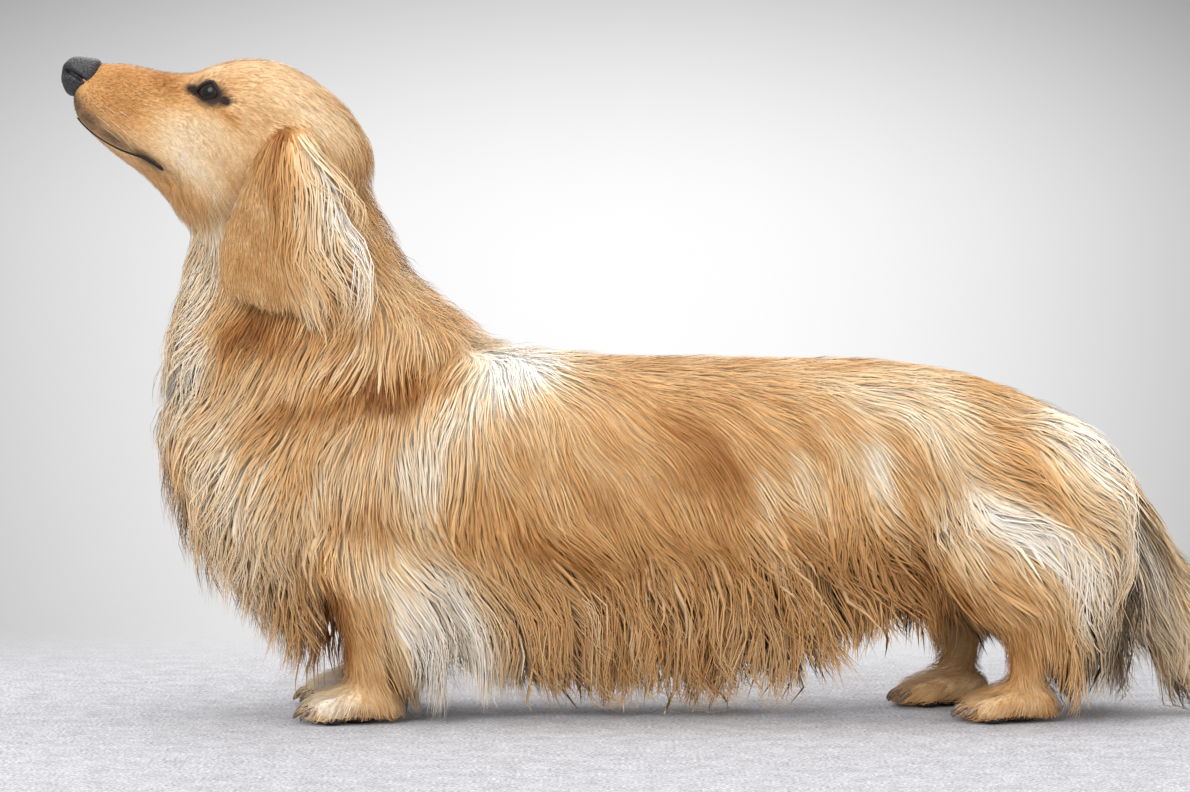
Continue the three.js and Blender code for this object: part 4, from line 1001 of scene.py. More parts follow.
# Combs laid on the left side set the lie, and the right side mirrors them. Each is its place
# in millimetres, with its distance out from the middle plane, how far its hair falls from
# level rearwards in degrees, and the hair's length, stand-off, hang and wave.
COMBS = [
    # muzzle and face
    ((-370, 0, 388), 5, 2.5, 0.5, 0, 0), ((-352, 0, 391), 2, 3.5, 0.6, 0, 0),
    ((-325, 0, 388), 4, 4.5, 0.8, 0, 0), ((-302, 0, 386), -14, 5.5, 1.4, 0, 0),
    ((-284, 10, 391), -12, 6, 1.8, 0, 0.1), ((-262, 0, 395), 2, 6.5, 1.6, 0, 0.1),
    ((-235, 0, 384), 30, 9, 2.2, 0, 0.1), ((-213, 0, 366), 52, 13, 3, 0.1, 0.1),
    ((-198, 0, 335), 70, 20, 5, 0.1, 0.2), ((-362, 12, 368), 12, 2.8, 0.5, 0, 0),
    ((-345, 17, 362), 22, 3.6, 0.6, 0, 0), ((-325, 20, 368), 14, 4.5, 0.8, 0, 0),
    ((-335, 18, 344), 32, 4, 0.7, 0, 0), ((-310, 22, 352), 26, 5.5, 1, 0, 0),
    ((-300, 24, 376), 10, 4, 0.7, 0, 0), ((-288, 24, 384), -20, 6, 1.6, 0, 0),
    ((-288, 32, 356), 34, 6.5, 1.2, 0, 0), ((-272, 36, 378), 18, 7, 1.5, 0, 0),
    ((-255, 42, 360), 34, 8, 1.8, 0, 0), ((-300, 28, 330), 48, 6.5, 1.2, 0, 0),
    ((-275, 40, 330), 58, 8.5, 1.8, 0, 0), ((-250, 44, 325), 72, 12, 2.5, 0, 0.1),
    ((-350, 0, 338), 34, 3.5, 0.6, 0, 0), ((-325, 8, 315), 42, 5, 1, 0, 0),
    ((-308, 10, 300), 58, 9, 2, 0, 0.1), ((-280, 30, 295), 70, 13, 3, 0, 0.2),
    ((-230, 40, 345), 50, 14, 3, 0, 0.2), ((-215, 38, 320), 72, 20, 4.5, 0, 0.2),
    # neck, throat and ruff
    ((-303, 6, 278), 108, 28, 7, 0.1, 0.6), ((-300, 8, 256), 124, 42, 10, 0, 1),
    ((-295, 10, 232), 134, 56, 15, 0, 1.3), ((-290, 12, 206), 132, 60, 16, 0.1, 1.3),
    ((-270, 35, 262), 104, 26, 6, 0, 0.3), ((-268, 42, 236), 122, 38, 9, 0, 0.6),
    ((-250, 48, 240), 104, 30, 8, 0, 0.4), ((-225, 48, 270), 84, 28, 7, 0, 0.3),
    ((-215, 50, 240), 98, 32, 9, 0, 0.4), ((-200, 38, 275), 72, 26, 7, 0, 0.3),
    ((-182, 8, 285), 62, 24, 8, 0, 0.2), ((-166, 8, 262), 54, 24, 8, 0, 0.2),
    ((-146, 8, 242), 38, 24, 8, 0, 0.2), ((-178, 42, 245), 76, 30, 9, 0, 0.3),
    ((-240, 52, 214), 128, 42, 12, 0, 0.6), ((-210, 56, 214), 126, 44, 13, 0, 0.6),
    ((-178, 52, 218), 112, 40, 12, 0, 0.4), ((-152, 40, 226), 88, 34, 10, 0, 0.3),
    # breast and shoulder
    ((-286, 20, 180), 126, 58, 15, 0.1, 1.2), ((-280, 24, 152), 118, 62, 13, 0.2, 1.3),
    ((-266, 30, 122), 104, 70, 12, 0.4, 1.3), ((-246, 24, 98), 90, 74, 10, 0.7, 1.2),
    ((-282, 0, 165), 112, 58, 13, 0.2, 1), ((-262, 0, 112), 96, 72, 11, 0.5, 1.1),
    ((-258, 46, 190), 126, 44, 11, 0, 0.6), ((-248, 50, 155), 116, 44, 11, 0, 0.6),
    ((-225, 60, 188), 108, 38, 10, 0, 0.4), ((-222, 60, 150), 104, 38, 10, 0, 0.4),
    ((-222, 55, 112), 98, 40, 10, 0.2, 0.5), ((-190, 66, 180), 94, 34, 9, 0, 0.3),
    ((-190, 66, 142), 92, 34, 9, 0, 0.3), ((-155, 66, 180), 92, 36, 9, 0, 0.3),
    ((-150, 68, 140), 88, 38, 9, 0, 0.4), ((-185, 66, 108), 66, 34, 8, 0, 0.3),
    ((-230, 0, 84), 88, 70, 8, 0.8, 0.8), ((-180, 0, 68), 86, 56, 8, 1, 0.8),
    # withers, back and croup
    ((-122, 6, 224), 12, 28, 5, 0, 0.1), ((-138, 40, 212), 112, 36, 6.2, 0, 0.3),
    ((-112, 40, 210), 84, 36, 5.6, 0, 0.3), ((-85, 38, 210), 58, 32, 5.6, 0, 0.2),
    ((-60, 0, 219), 4, 24, 3.1, 0, 0.1), ((40, 0, 217), 2, 24, 3.1, 0, 0.1),
    ((120, 0, 214), 8, 24, 3.1, 0, 0.1), ((170, 0, 204), 22, 26, 3.1, 0, 0.1),
    ((205, 0, 190), 36, 30, 4.3, 0, 0.2), ((232, 0, 172), 50, 36, 4.3, 0.1, 0.3),
    ((-55, 45, 204), 34, 25, 3.4, 0, 0.1), ((0, 45, 203), 28, 24, 3.4, 0, 0.1),
    ((60, 44, 202), 26, 24, 3.4, 0, 0.1), ((125, 42, 196), 26, 26, 3.4, 0, 0.2),
    ((165, 42, 186), 36, 30, 5, 0, 0.3),
    # flank
    ((-100, 66, 170), 78, 28, 3.7, 0, 0.2), ((-50, 68, 170), 56, 26, 3.7, 0, 0.2),
    ((0, 68, 170), 48, 26, 3.7, 0, 0.2), ((50, 67, 170), 46, 27, 3.7, 0, 0.2),
    ((100, 62, 170), 50, 30, 3.7, 0, 0.3), ((-50, 69, 142), 62, 32, 4, 0, 0.3),
    ((0, 69, 142), 60, 34, 4, 0, 0.4), ((50, 67, 142), 58, 36, 4.3, 0, 0.6),
    ((95, 62, 146), 66, 42, 5.6, 0, 0.7), ((-110, 69, 120), 72, 38, 6.2, 0, 0.4),
    ((-70, 69, 112), 44, 46, 6.8, 0, 0.8), ((-35, 69, 112), 58, 50, 6.8, 0, 0.9),
    ((0, 68, 114), 66, 50, 6.8, 0, 1), ((40, 67, 118), 56, 54, 6.8, 0, 1.1),
    ((80, 64, 120), 72, 54, 6.8, 0.1, 1.1), ((118, 58, 126), 62, 50, 6.8, 0.1, 1),
    # belly fringe
    ((-120, 50, 82), 62, 80, 10, 0.7, 1.4), ((-80, 52, 80), 54, 90, 10, 0.7, 1.6),
    ((-35, 52, 80), 70, 92, 10, 0.75, 1.6), ((10, 50, 82), 76, 94, 10, 0.75, 1.7),
    ((55, 48, 88), 68, 90, 10, 0.75, 1.7), ((95, 44, 94), 56, 72, 10, 0.65, 1.5),
    ((125, 34, 98), 56, 54, 8, 0.6, 1), ((-60, 0, 68), 84, 58, 6, 1, 0.9),
    ((20, 0, 74), 84, 60, 6, 1, 0.9), ((90, 0, 86), 74, 48, 6, 1, 0.9),
    # thigh and breeches
    ((120, 58, 172), 54, 36, 7.2, 0, 0.4), ((165, 58, 165), 46, 38, 7.2, 0, 0.5),
    ((205, 52, 160), 50, 42, 7.2, 0, 0.6), ((150, 66, 132), 50, 44, 8, 0, 0.7),
    ((185, 66, 132), 22, 58, 9.6, 0, 1), ((222, 52, 134), 40, 58, 8.8, 0, 1),
    ((150, 62, 98), 42, 40, 6.4, 0, 0.5), ((186, 60, 96), 48, 46, 7.2, 0, 0.7),
    ((222, 50, 96), 56, 96, 8, 0.45, 1.5), ((250, 20, 138), 56, 128, 9, 0.5, 1.4),
    ((244, 30, 110), 58, 116, 9, 0.5, 1.5), ((222, 38, 74), 80, 66, 6.4, 0.65, 0.8),
    ((180, 55, 66), 48, 22, 3.2, 0.1, 0.3),
    # fore legs and paws
    ((-221, 47, 90), 92, 20, 5, 0, 0.4), ((-214, 48, 60), 84, 15, 4, 0, 0.3),
    ((-210, 47, 36), 80, 13, 3.5, 0, 0.2), ((-196, 66, 84), 70, 26, 6, 0, 0.4),
    ((-196, 64, 52), 62, 18, 4.5, 0, 0.3), ((-192, 62, 30), 72, 13, 3.5, 0, 0.2),
    ((-162, 52, 92), 34, 84, 11, 0.7, 1), ((-166, 50, 68), 40, 78, 10, 0.75, 1),
    ((-174, 48, 48), 50, 54, 7, 0.8, 0.8), ((-176, 48, 32), 64, 28, 4, 0.7, 0.4),
    ((-226, 47, 19), 150, 12, 4.4, 0.1, 0.2), ((-208, 60, 16), 118, 11, 3.6, 0.1, 0.2),
    ((-185, 47, 12), 60, 10, 3, 0.2, 0.1), ((-222, 47, 6), 160, 9, 3.2, 0.2, 0.1),
    # hocks and hind paws
    ((180, 41, 44), 86, 13, 3.5, 0, 0.2), ((212, 41, 42), 78, 24, 5, 0.4, 0.4),
    ((196, 55, 40), 72, 15, 3.8, 0, 0.3), ((196, 54, 24), 80, 11, 3, 0, 0.1),
    ((164, 41, 19), 150, 12, 4.4, 0.1, 0.2), ((182, 54, 15), 118, 11, 3.6, 0.1, 0.2),
    ((206, 41, 10), 60, 10, 3, 0.2, 0.1), ((166, 41, 6), 160, 9, 3.2, 0.2, 0.1),
    # tail
    ((222, 0, 184), 40, 34, 6, 0, 0.3), ((246, 0, 168), 52, 38, 7, 0, 0.4),
    ((262, 0, 142), 56, 44, 7, 0.1, 0.5), ((278, 0, 112), 50, 46, 7, 0.1, 0.6),
    ((296, 0, 88), 40, 46, 7, 0.1, 0.6), ((324, 0, 66), 34, 44, 6, 0.1, 0.6),
    ((356, 0, 42), 30, 40, 5, 0.1, 0.5), ((230, 6, 140), 84, 118, 9, 0.7, 1.2),
    ((250, 6, 112), 80, 112, 9, 0.75, 1.3), ((270, 6, 92), 74, 100, 9, 0.75, 1.3),
    ((292, 6, 70), 64, 88, 8, 0.7, 1.3), ((322, 5, 52), 52, 66, 7, 0.6, 1),
    ((352, 4, 34), 36, 44, 5, 0.5, 0.6),
]


def combed(points, combs):
    """Lie, length, stand-off, hang and wave of the coat at points in millimetres."""
    places = np.array([comb[0] for comb in combs], float)
    folded = points * np.where(points[:, 1:2] < 0, (1, -1, 1), (1, 1, 1))
    fall = np.radians([comb[1] for comb in combs])
    lies = np.stack([np.cos(fall), 0 * fall, -np.sin(fall)], 1)
    facts = np.hstack([lies, np.array([comb[2:] for comb in combs], float)])
    result = np.empty((len(points), facts.shape[1]))
    for start in range(0, len(points), 20000):
        some = folded[start:start + 20000]
        gap = ((some[:, None] - places[None]) ** 2).sum(2)
        weight = 1 / (gap + 50) ** 2
        result[start:start + 20000] = weight @ facts / weight.sum(1, keepdims=True)
    # The lie wanders a little from lock to lock, more in longer hair
    wander = 0.24 * swirl(folded, 30, 5) + 0.16 * swirl(folded, 11, 6)
    wander *= np.clip((result[:, 3] - 4) / 20, 0.15, 1)
    x, y, z = result[:, :3].T
    turned = [x * np.cos(wander) - z * np.sin(wander), y, x * np.sin(wander) + z * np.cos(wander)]
    return np.stack(turned, 1), *result[:, 3:].T


def swirl(points, scale, seed):
    """A smooth random number from -1 to 1 at each point, that changes over this scale."""
    draw = np.random.default_rng(seed)
    total = np.zeros(len(points))
    for _ in range(5):
        direction = unit(draw.normal(size=3)) * 2 * math.pi / scale * draw.uniform(0.6, 1.5)
        total += np.sin(points @ direction + draw.uniform(0, 2 * math.pi))
    return total / 2.6


def unwrap(made):
    """An unwrap of the piece's own shape, in the map that carries its finish."""
    made.data.uv_layers.new(name="OFBake")
    bpy.context.view_layer.objects.active = made
    made.select_set(True)
    bpy.ops.object.mode_set(mode="EDIT")
    bpy.ops.mesh.select_all(action="SELECT")
    bpy.ops.uv.smart_project(angle_limit=1.2, island_margin=0.002)
    bpy.ops.object.mode_set(mode="OBJECT")
    made.select_set(False)


unwrap(skin)
skin.data.calc_loop_triangles()
triangle_count = len(skin.data.loop_triangles)
corner = np.empty(triangle_count * 3, int)
skin.data.loop_triangles.foreach_get("vertices", corner)
corner = corner.reshape(-1, 3)
corner_loop = np.empty(triangle_count * 3, int)
skin.data.loop_triangles.foreach_get("loops", corner_loop)
corner_loop = corner_loop.reshape(-1, 3)
loop_place = np.empty(len(skin.data.loops) * 2)
skin.data.uv_layers["OFBake"].data.foreach_get("uv", loop_place)
loop_place = loop_place.reshape(-1, 2)
vertex_normal = np.empty(len(skin.data.vertices) * 3)
skin.data.vertex_normals.foreach_get("vector", vertex_normal)
vertex_normal = vertex_normal.reshape(-1, 3)


def on_ear(points):
    x, y, z = points.T
    out = np.abs(y)
    return (out > np.where(z > 288, 48.8, 44)) & (z > 238) & (z < 352) & (x < -200) & (x > -290)


def is_bare(points):
    """Eyes, lips, the nose's place and the soles carry no hair."""
    eye = in_eye(points, 1.6)
    x, z = points[:, 0], points[:, 2]
    under_nose = (x < -364.5) & (z > 372)
    mouth = (np.abs(from_mouth(points)) < 0.9) & (x < -314) & (z > 300)
    return eye | under_nose | mouth | (z < 2.5)


def rooted(count, combs, wanted, fineness, draw):
    """Roots spread over the wanted skin, denser where the hair is shorter."""
    a, b, c = (skin_at[corner[:, i]] for i in range(3))
    middle = (a + b + c) / 3
    area = np.linalg.norm(np.cross(b - a, c - a), axis=1) / 2
    length = combed(middle, combs)[1]
    haired = wanted(middle) & ~is_bare(middle)
    weight = np.where(haired, area / (0.5 + 0.022 * length) / length**fineness, 0)
    total = np.cumsum(weight)
    pick = np.searchsorted(total, (np.arange(count) + draw.uniform(0, 1, count)) / count * total[-1])
    pick = np.minimum(pick, len(total) - 1)
    u, v = draw.uniform(0, 1, (2, count))
    flip = u + v > 1
    u, v = np.where(flip, 1 - u, u), np.where(flip, 1 - v, v)
    shares = np.stack([1 - u - v, u, v], 1)[:, :, None]
    at = (skin_at[corner[pick]] * shares).sum(1)
    normal = unit((vertex_normal[corner[pick]] * shares).sum(1))
    place = (loop_place[corner_loop[pick]] * shares).sum(1)
    return at, normal, place


def nearest_skin(points):
    found = [skin_tree.find_nearest(point) for point in points.tolist()]
    at = np.array([hit[0] for hit in found])
    normal = np.array([hit[1] for hit in found])
    return normal, dot(points - at, normal)[:, 0]


def grown(at, normal, combs, draw):
    """Guide hairs from their roots, lying along the skin or hanging clear of it."""
    lie, length, stand, hang, wave = combed(at, combs)
    uneven = 1 + 0.2 * swirl(at, 24, 9) * np.clip((length - 20) / 40, 0, 1)
    length = length * uneven * draw.uniform(0.85, 1.1, len(at))
    step = (length / (GUIDE_STEPS - 1))[:, None]
    heading = unit(unit(lie - dot(lie, normal) * normal) + normal * (stand / length * 1.6)[:, None])
    path = [at.copy()]
    now, surface = at.copy(), normal
    height = np.zeros(len(at))
    for index in range(1, GUIDE_STEPS):
        share = index / (GUIDE_STEPS - 1)
        lie = combed(now, combs)[0]
        into = np.minimum(dot(lie, surface), 0)
        lie = unit(lie - into * surface)
        hanging = (hang * share**0.7)[:, None]
        target = unit(lie * (1 - hanging) + np.array((0.05, 0, -1)) * hanging)
        wished = stand * min(1, 1.5 * share) ** 0.8
        pull = np.clip((wished - height) / step[:, 0], -0.5 * (1 - hang), 0.7)
        heading = unit(0.5 * heading + 0.5 * target + surface * pull[:, None] * 0.6)
        now = now + heading * step
        surface, height = nearest_skin(now)
        least = np.minimum(wished * 0.6, 0.8 + stand * 0.4 * share)
        rise = np.maximum(least - height, 0)
        now = now + surface * rise[:, None]
        height = height + rise
        now[:, 2] = np.maximum(now[:, 2], 1.6 + 2 * share)
        path.append(now.copy())
    path = np.stack(path, 1)
    shares = np.linspace(0, 1, GUIDE_STEPS)
    across = unit(np.cross(path[:, -1] - path[:, 0], normal))
    phase = 2.6 * swirl(at, 46, 3) + draw.uniform(-0.4, 0.4, len(at))
    turns = 2 * math.pi * (length / WAVELENGTH)[:, None] * shares[None] + phase[:, None]
    swing = (wave * np.minimum(length, 70) * 0.1)[:, None] * shares[None] ** 0.8
    path += across[:, None] * ((np.sin(turns) - np.sin(phase)[:, None]) * swing)[:, :, None]
    path += normal[:, None] * (np.cos(turns * 0.8 + 1) * swing * 0.35)[:, :, None]
    path[:, :, 2] = np.maximum(path[:, :, 2], 1.6)
    return path, length


def gathered(path, at, length, reach):
    """Guides drawn towards the nearest of a sparser set, so that they form wider locks."""
    tree = KDTree(len(at[::9]))
    for index, point in enumerate(at[::9]):
        tree.insert(point, index)
    tree.balance()
    leader = np.array([tree.find(point)[1] for point in at.tolist()]) * 9
    shares = np.linspace(0, 1, GUIDE_STEPS)[None, :, None]
    strength = np.clip((length - 18) / 34, 0, 1)[:, None, None] * reach
    return path + (path[leader] - path) * strength * shares**1.3


def resampled(path, shares):
    """Points of each path at shares of its length, in a straight line between its steps."""
    place = shares * (path.shape[1] - 1)
    first = np.minimum(place.astype(int), path.shape[1] - 2)
    part = (place - first)[..., None]
    rows = np.arange(len(path))[:, None]
    return path[rows, first] * (1 - part) + path[rows, first + 1] * part


def strands_from(guides, at, normal, combs, draw, locks, sunk):
    """Hairs between the guides, close together at their tips."""
    path, guide_at, guide_tone = guides
    tree = KDTree(len(guide_at))
    for index, point in enumerate(guide_at):
        tree.insert(point, index)
    tree.balance()
    near = [tree.find_n(point, 3) for point in at.tolist()]
    index = np.array([[hit[1] for hit in hits] for hits in near])
    gap = np.array([[hit[2] for hit in hits] for hits in near])
    weight = 1 / (gap + 0.6) ** 2
    weight /= weight.sum(1, keepdims=True)
    run = path - path[:, :1]
    moved = sum(run[index[:, i]] * weight[:, i, None, None] for i in range(3))
    _, length, stand = combed(at, combs)[:3]
    scale = draw.uniform(0.72, 1.1, len(at)) * np.where(draw.uniform(0, 1, len(at)) < 0.06, 1.15, 1)
    depth = draw.uniform(0.25, 1, len(at)) * (1 - sunk)
    shares = np.linspace(0, 1, GUIDE_STEPS)[None, :, None]
    own = at[:, None] + moved * scale[:, None, None]
    own -= normal[:, None] * (stand * (1 - depth) * 0.75)[:, None, None] * shares**0.8
    lead = path[index[:, 0]]
    closing = np.clip((length - 14) / (75 - 40 * locks), 0.05, 0.4 + 0.5 * locks)[:, None, None]
    closing = closing * (1 - sunk)  # sunk undercoat isn't drawn up into the locks
    own += (lead - own) * closing * shares**1.15
    loose = 0.15 + 0.03 * length
    stray = draw.uniform(0, 1, len(at)) < 0.02
    loose = loose * np.where(stray, 2, 1)
    drift = draw.normal(size=(len(at), 1, 3)) * loose[:, None, None] * shares**1.4
    curl = draw.uniform(0, 2 * math.pi, (len(at), 1, 1))
    side = unit(np.cross(moved[:, -1], normal))[:, None]
    own += drift + side * np.sin(shares * 5 + curl) * (0.25 * loose)[:, None, None] * shares
    own[:, 0] = at - normal * 0.6
    tone = guide_tone[index[:, 0]] + draw.normal(size=len(at)) * 0.06
    # Deeper strands are painted lighter: painted light that lifts the shade they lie in
    tone -= (depth - 0.6) * 0.3
    return own, length * scale, tone


def ring_vertices(points, normal, breadth, length, draw):
    """Vertices of tapered three-sided strands along their points, with their sides' directions."""
    count = len(points)
    rings = points.shape[1] - 1
    ahead = np.concatenate([points[:, 1:], points[:, -1:]], 1)
    behind = np.concatenate([points[:, :1], points[:, :-1]], 1)
    tangent = unit(ahead - behind)
    out = normal[:, None]
    flat = unit(np.cross(tangent, out))
    ridge = np.cross(flat, tangent)
    roll = draw.normal(size=(count, 1, 1)) * 0.25
    flat, ridge = flat * np.cos(roll) + ridge * np.sin(roll), ridge * np.cos(roll) - flat * np.sin(roll)
    width = np.interp(length, *WIDTHS)
    width = width * draw.uniform(0.7, 1.25, count) * breadth
    taper = np.interp(np.linspace(0, 1, rings + 1), *TAPER)[None, :, None]
    half = width[:, None, None] * taper / 2
    raised = points + ridge * half * RIDGE / breadth**0.7
    ring = np.stack([points - flat * half, points + flat * half, raised], 2)
    verts = np.concatenate([ring[:, :-1].reshape(count, -1, 3), points[:, -1:]], 1)
    verts[:, :, 2] = np.maximum(verts[:, :, 2], FLOOR_GAP / MM)
    return verts, flat, ridge, width


def shading_of(flat, ridge, out, length, shares):
    """Normals of the strands' upper sides and backs, softened towards the skin under them."""
    hanging = np.clip((length - 35) / 60, 0, 0.3)[:, None] * shares
    under = np.clip(1 + 1.6 * np.minimum(out[:, 2], 0), 0.1, 1)[:, None]
    soft = (SOFT * under * (1 - hanging))[:, :, None, None]
    out = out[:, None, None]
    upper = unit(unit(np.stack([-flat, flat, ridge], 2)) * (1 - soft) + out * soft)
    upper = np.concatenate([upper[:, :-1].reshape(len(flat), -1, 3), upper[:, -1, 2:]], 1)
    back = unit(-ridge[:, :, None] * (1 - soft) - out * soft)
    back = np.concatenate([np.repeat(back[:, :-1], 3, 2).reshape(len(flat), -1, 3), back[:, -1]], 1)
    return upper, back


def mesh_of_faces(name, verts, faces):
    """A mesh straight from its vertices and lists of faces, and its corners' vertices."""
    sizes = np.concatenate([np.full(len(some), some.shape[1]) for some in faces])
    corners = np.concatenate([some.ravel() for some in faces])
    mesh = bpy.data.meshes.new(name)
    mesh.vertices.add(len(verts))
    mesh.vertices.foreach_set("co", verts.ravel())
    mesh.loops.add(len(corners))
    mesh.loops.foreach_set("vertex_index", corners)
    mesh.polygons.add(len(sizes))
    mesh.polygons.foreach_set("loop_start", np.concatenate([[0], np.cumsum(sizes)[:-1]]))
    mesh.polygons.foreach_set("use_smooth", np.ones(len(sizes), bool))
    return mesh, corners


def add_vectors(mesh, name, domain, vectors):
    attribute = mesh.attributes.new(name, "FLOAT_VECTOR", domain)
    attribute.data.foreach_set("vector", vectors.astype(np.float32).ravel())


def strand_mesh(name, path, length, normal, place, tone, draw, breadth=1, more_rings=0):
    """Flat tapered strands of three sides, with a point, all in one piece."""
    verts, faces, upper, back, on_back, colours, places, uv = [], [], [], [], [], [], [], []
    offset = 0
    middle = resampled(path, np.full((len(path), 1), 0.5))[:, 0]
    base_tone = marking_tone(middle) + tone
    rings_for = FEWEST_RINGS + np.searchsorted(RING_LENGTHS, length, side="right")
    rings_for = rings_for + more_rings * (length > RING_LENGTHS[0])
    for rings in np.unique(rings_for):
        chosen = np.nonzero(rings_for == rings)[0]
        count = len(chosen)
        shares = np.tile(np.linspace(0, 1, rings + 1), (count, 1))
        points = resampled(path[chosen], shares)
        some, flat, ridge, width = ring_vertices(points, normal[chosen], breadth, length[chosen], draw)
        verts.append(some.reshape(-1, 3))
        some_upper, some_back = shading_of(flat, ridge, normal[chosen], length[chosen], shares)
        upper.append(some_upper.reshape(-1, 3))
        back.append(some_back.reshape(-1, 3))
        per = rings * 3 + 1
        base = offset + np.arange(count)[:, None, None] * per
        quads, tris = [], [(0, 1, 2)]
        for row in range(rings - 1):
            for i in range(3):
                j = (i + 1) % 3
                quads.append((row * 3 + j, row * 3 + i, row * 3 + 3 + i, row * 3 + 3 + j))
        last = (rings - 1) * 3
        tris += [(last + (i + 1) % 3, last + i, per - 1) for i in range(3)]
        faces.append((base + np.array(quads)[None]).reshape(-1, 4))
        faces.append((base + np.array(tris)[None]).reshape(-1, 3))
        on_back.append(np.tile(np.repeat(np.arange(len(quads)) % 3 == 0, 4), count))
        on_back.append(np.tile(np.repeat((False, True, False, False), 3), count))
        root_to_tip = np.append(np.repeat(shares[0, :-1], 3), 1)[None]
        # Roots painted lighter to lift the shade deep in the coat, tips paler in their own colour
        tones = base_tone[chosen][:, None] + np.interp(root_to_tip[0], *LIGHTER)[None]
        roots = np.repeat(path[chosen, :1], per, 1).reshape(-1, 3)
        colours.append(coat_colour(roots, tones.ravel()))
        turn = np.append(np.tile((0, 0.5, 1), rings), 0.5)[None]
        wide = turn * (width / 0.16)[:, None]
        far = root_to_tip * (length[chosen] / 14)[:, None]
        shift = np.tile(draw.uniform(0, 500, (count, 1)), (1, per))
        places.append(np.stack([wide, far, shift], 2).reshape(-1, 3))
        on_patch = np.stack([np.tile(turn, (count, 1)), np.tile(root_to_tip, (count, 1))], 2)
        uv.append((place[chosen][:, None] + (on_patch - 0.5) * PATCH).reshape(-1, 2))
        offset += count * per
    mesh, corners = mesh_of_faces(name, np.vstack(verts) * MM, faces)
    layer = mesh.uv_layers.new(name="OFBake")
    layer.data.foreach_set("uv", np.vstack(uv)[corners].ravel())
    mesh.update(calc_edges=True)
    is_back = np.concatenate(on_back)[:, None]
    facing = np.where(is_back, np.vstack(back)[corners], np.vstack(upper)[corners])
    add_vectors(mesh, "custom_normal", "CORNER", facing)
    add_vectors(mesh, "strand_place", "POINT", np.vstack(places))
    paint(mesh, np.vstack(colours))
    mesh.materials.append(hair_material)
    piece = bpy.data.objects.new(name, mesh)
    bpy.context.collection.objects.link(piece)
    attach(piece, "root")


hair_material, hair_shader = material_with_shader("silky_hair", 0.55, 0.22)
hair_stain = add_node(hair_material, "VertexColor", layer_name="coat_colour")
# Single hairs show as fine streaks along each strand
along_strand = add_node(hair_material, "Attribute", attribute_name="strand_place")
single_hairs = add_node(hair_material, "TexNoise", Scale=1, Detail=2, Roughness=0.6)
wire(hair_material, along_strand.outputs["Vector"], single_hairs.inputs["Vector"])
streaks = ramp(
    hair_material, single_hairs.outputs["Fac"], [(0.3, (0.88, 0.85, 0.82)), (0.62, (1.06, 1.06, 1.06))]
)
streaked = add_node(hair_material, "MixRGB", blend_type="MULTIPLY", Fac=1)
wire(hair_material, hair_stain.outputs["Color"], streaked.inputs[1])
wire(hair_material, streaks, streaked.inputs[2])
wire(hair_material, streaked.outputs["Color"], hair_shader.inputs["Base Color"])
hair_relief = add_node(hair_material, "Bump", Strength=0.25, Distance=0.0003)
wire(hair_material, single_hairs.outputs["Fac"], hair_relief.inputs["Height"])
wire(hair_material, hair_relief.outputs["Normal"], hair_shader.inputs["Normal"])


def side_of(at):
    return np.where(at[:, 1] < 0, "left", "right")


def on_tail(at):
    x, y, z = at.T
    return (x > 252) | ((np.abs(y) < 13) & (x > 228) & (z > 150))


def body_part_of(at):
    """Which piece of the coat each root on trunk, neck, head and legs belongs to."""
    x, y, z = at.T
    out = np.abs(y)
    part = np.where(x < -96, "breast_coat_", np.where(x < 98, "flank_coat_", "rump_coat_"))
    part = np.where((z < 96) & (x < -155) & (x > -240) & (out > 28), "foreleg_coat_", part)
    part = np.where((z < 84) & (x > 120) & (out > 18), "hindleg_coat_", part)
    part = np.where((z > 221 + 0.148 * (x + 229)) & (z > 140), "neck_coat_", part)
    part = np.where(z > 300 + 0.26 * (x + 300), "head_coat_", part)
    return np.char.add(part, side_of(at))


def faces_out(at, normal):
    return normal[:, 1] * np.sign(at[:, 1]) > -0.15


def coat(
    name, count, wanted, seed, locks, combs=COMBS, part_of=None, breadth=1, sunk=0, more_rings=0,
    reach=None,
):
    """A part of the coat as one piece a side: guide hairs first, then the strands between them.

    With a reach, hair grows on the outer side only, and no strand passes that x.
    """
    draw = np.random.default_rng(seed)
    at, normal, _ = rooted(count // GUIDE_SHARE, combs, wanted, GUIDE_FINENESS, draw)
    if reach is not None:
        out = faces_out(at, normal)
        at, normal = at[out], normal[out]
    path, length = grown(at, normal, combs, draw)
    path = gathered(path, at, length, locks)
    tone = draw.normal(size=len(at)) * 0.06
    tone += 0.15 * swirl(at, 26, seed + 1) + 0.12 * swirl(at, 9, seed + 2)
    guides = (path, at, tone)
    at, normal, place = rooted(count, combs, wanted, STRAND_FINENESS, draw)
    if reach is not None:
        out = faces_out(at, normal)
        at, normal, place = at[out], normal[out], place[out]
    path, length, tone = strands_from(guides, at, normal, combs, draw, locks, sunk)
    if reach is not None:
        kept = path[:, :, 0].max(1) < reach
        path, length, tone, at, normal, place = (
            part[kept] for part in (path, length, tone, at, normal, place)
        )
    names = np.char.add(name, side_of(at)) if part_of is None else part_of(at)
    for name in sorted(set(names)):
        mine = names == name
        strand_mesh(
            str(name), path[mine], length[mine], normal[mine], place[mine], tone[mine], draw,
            breadth, more_rings,
        )


coat("body", 58500, lambda at: ~on_ear(at) & ~on_tail(at), 7, 0.3, part_of=body_part_of)


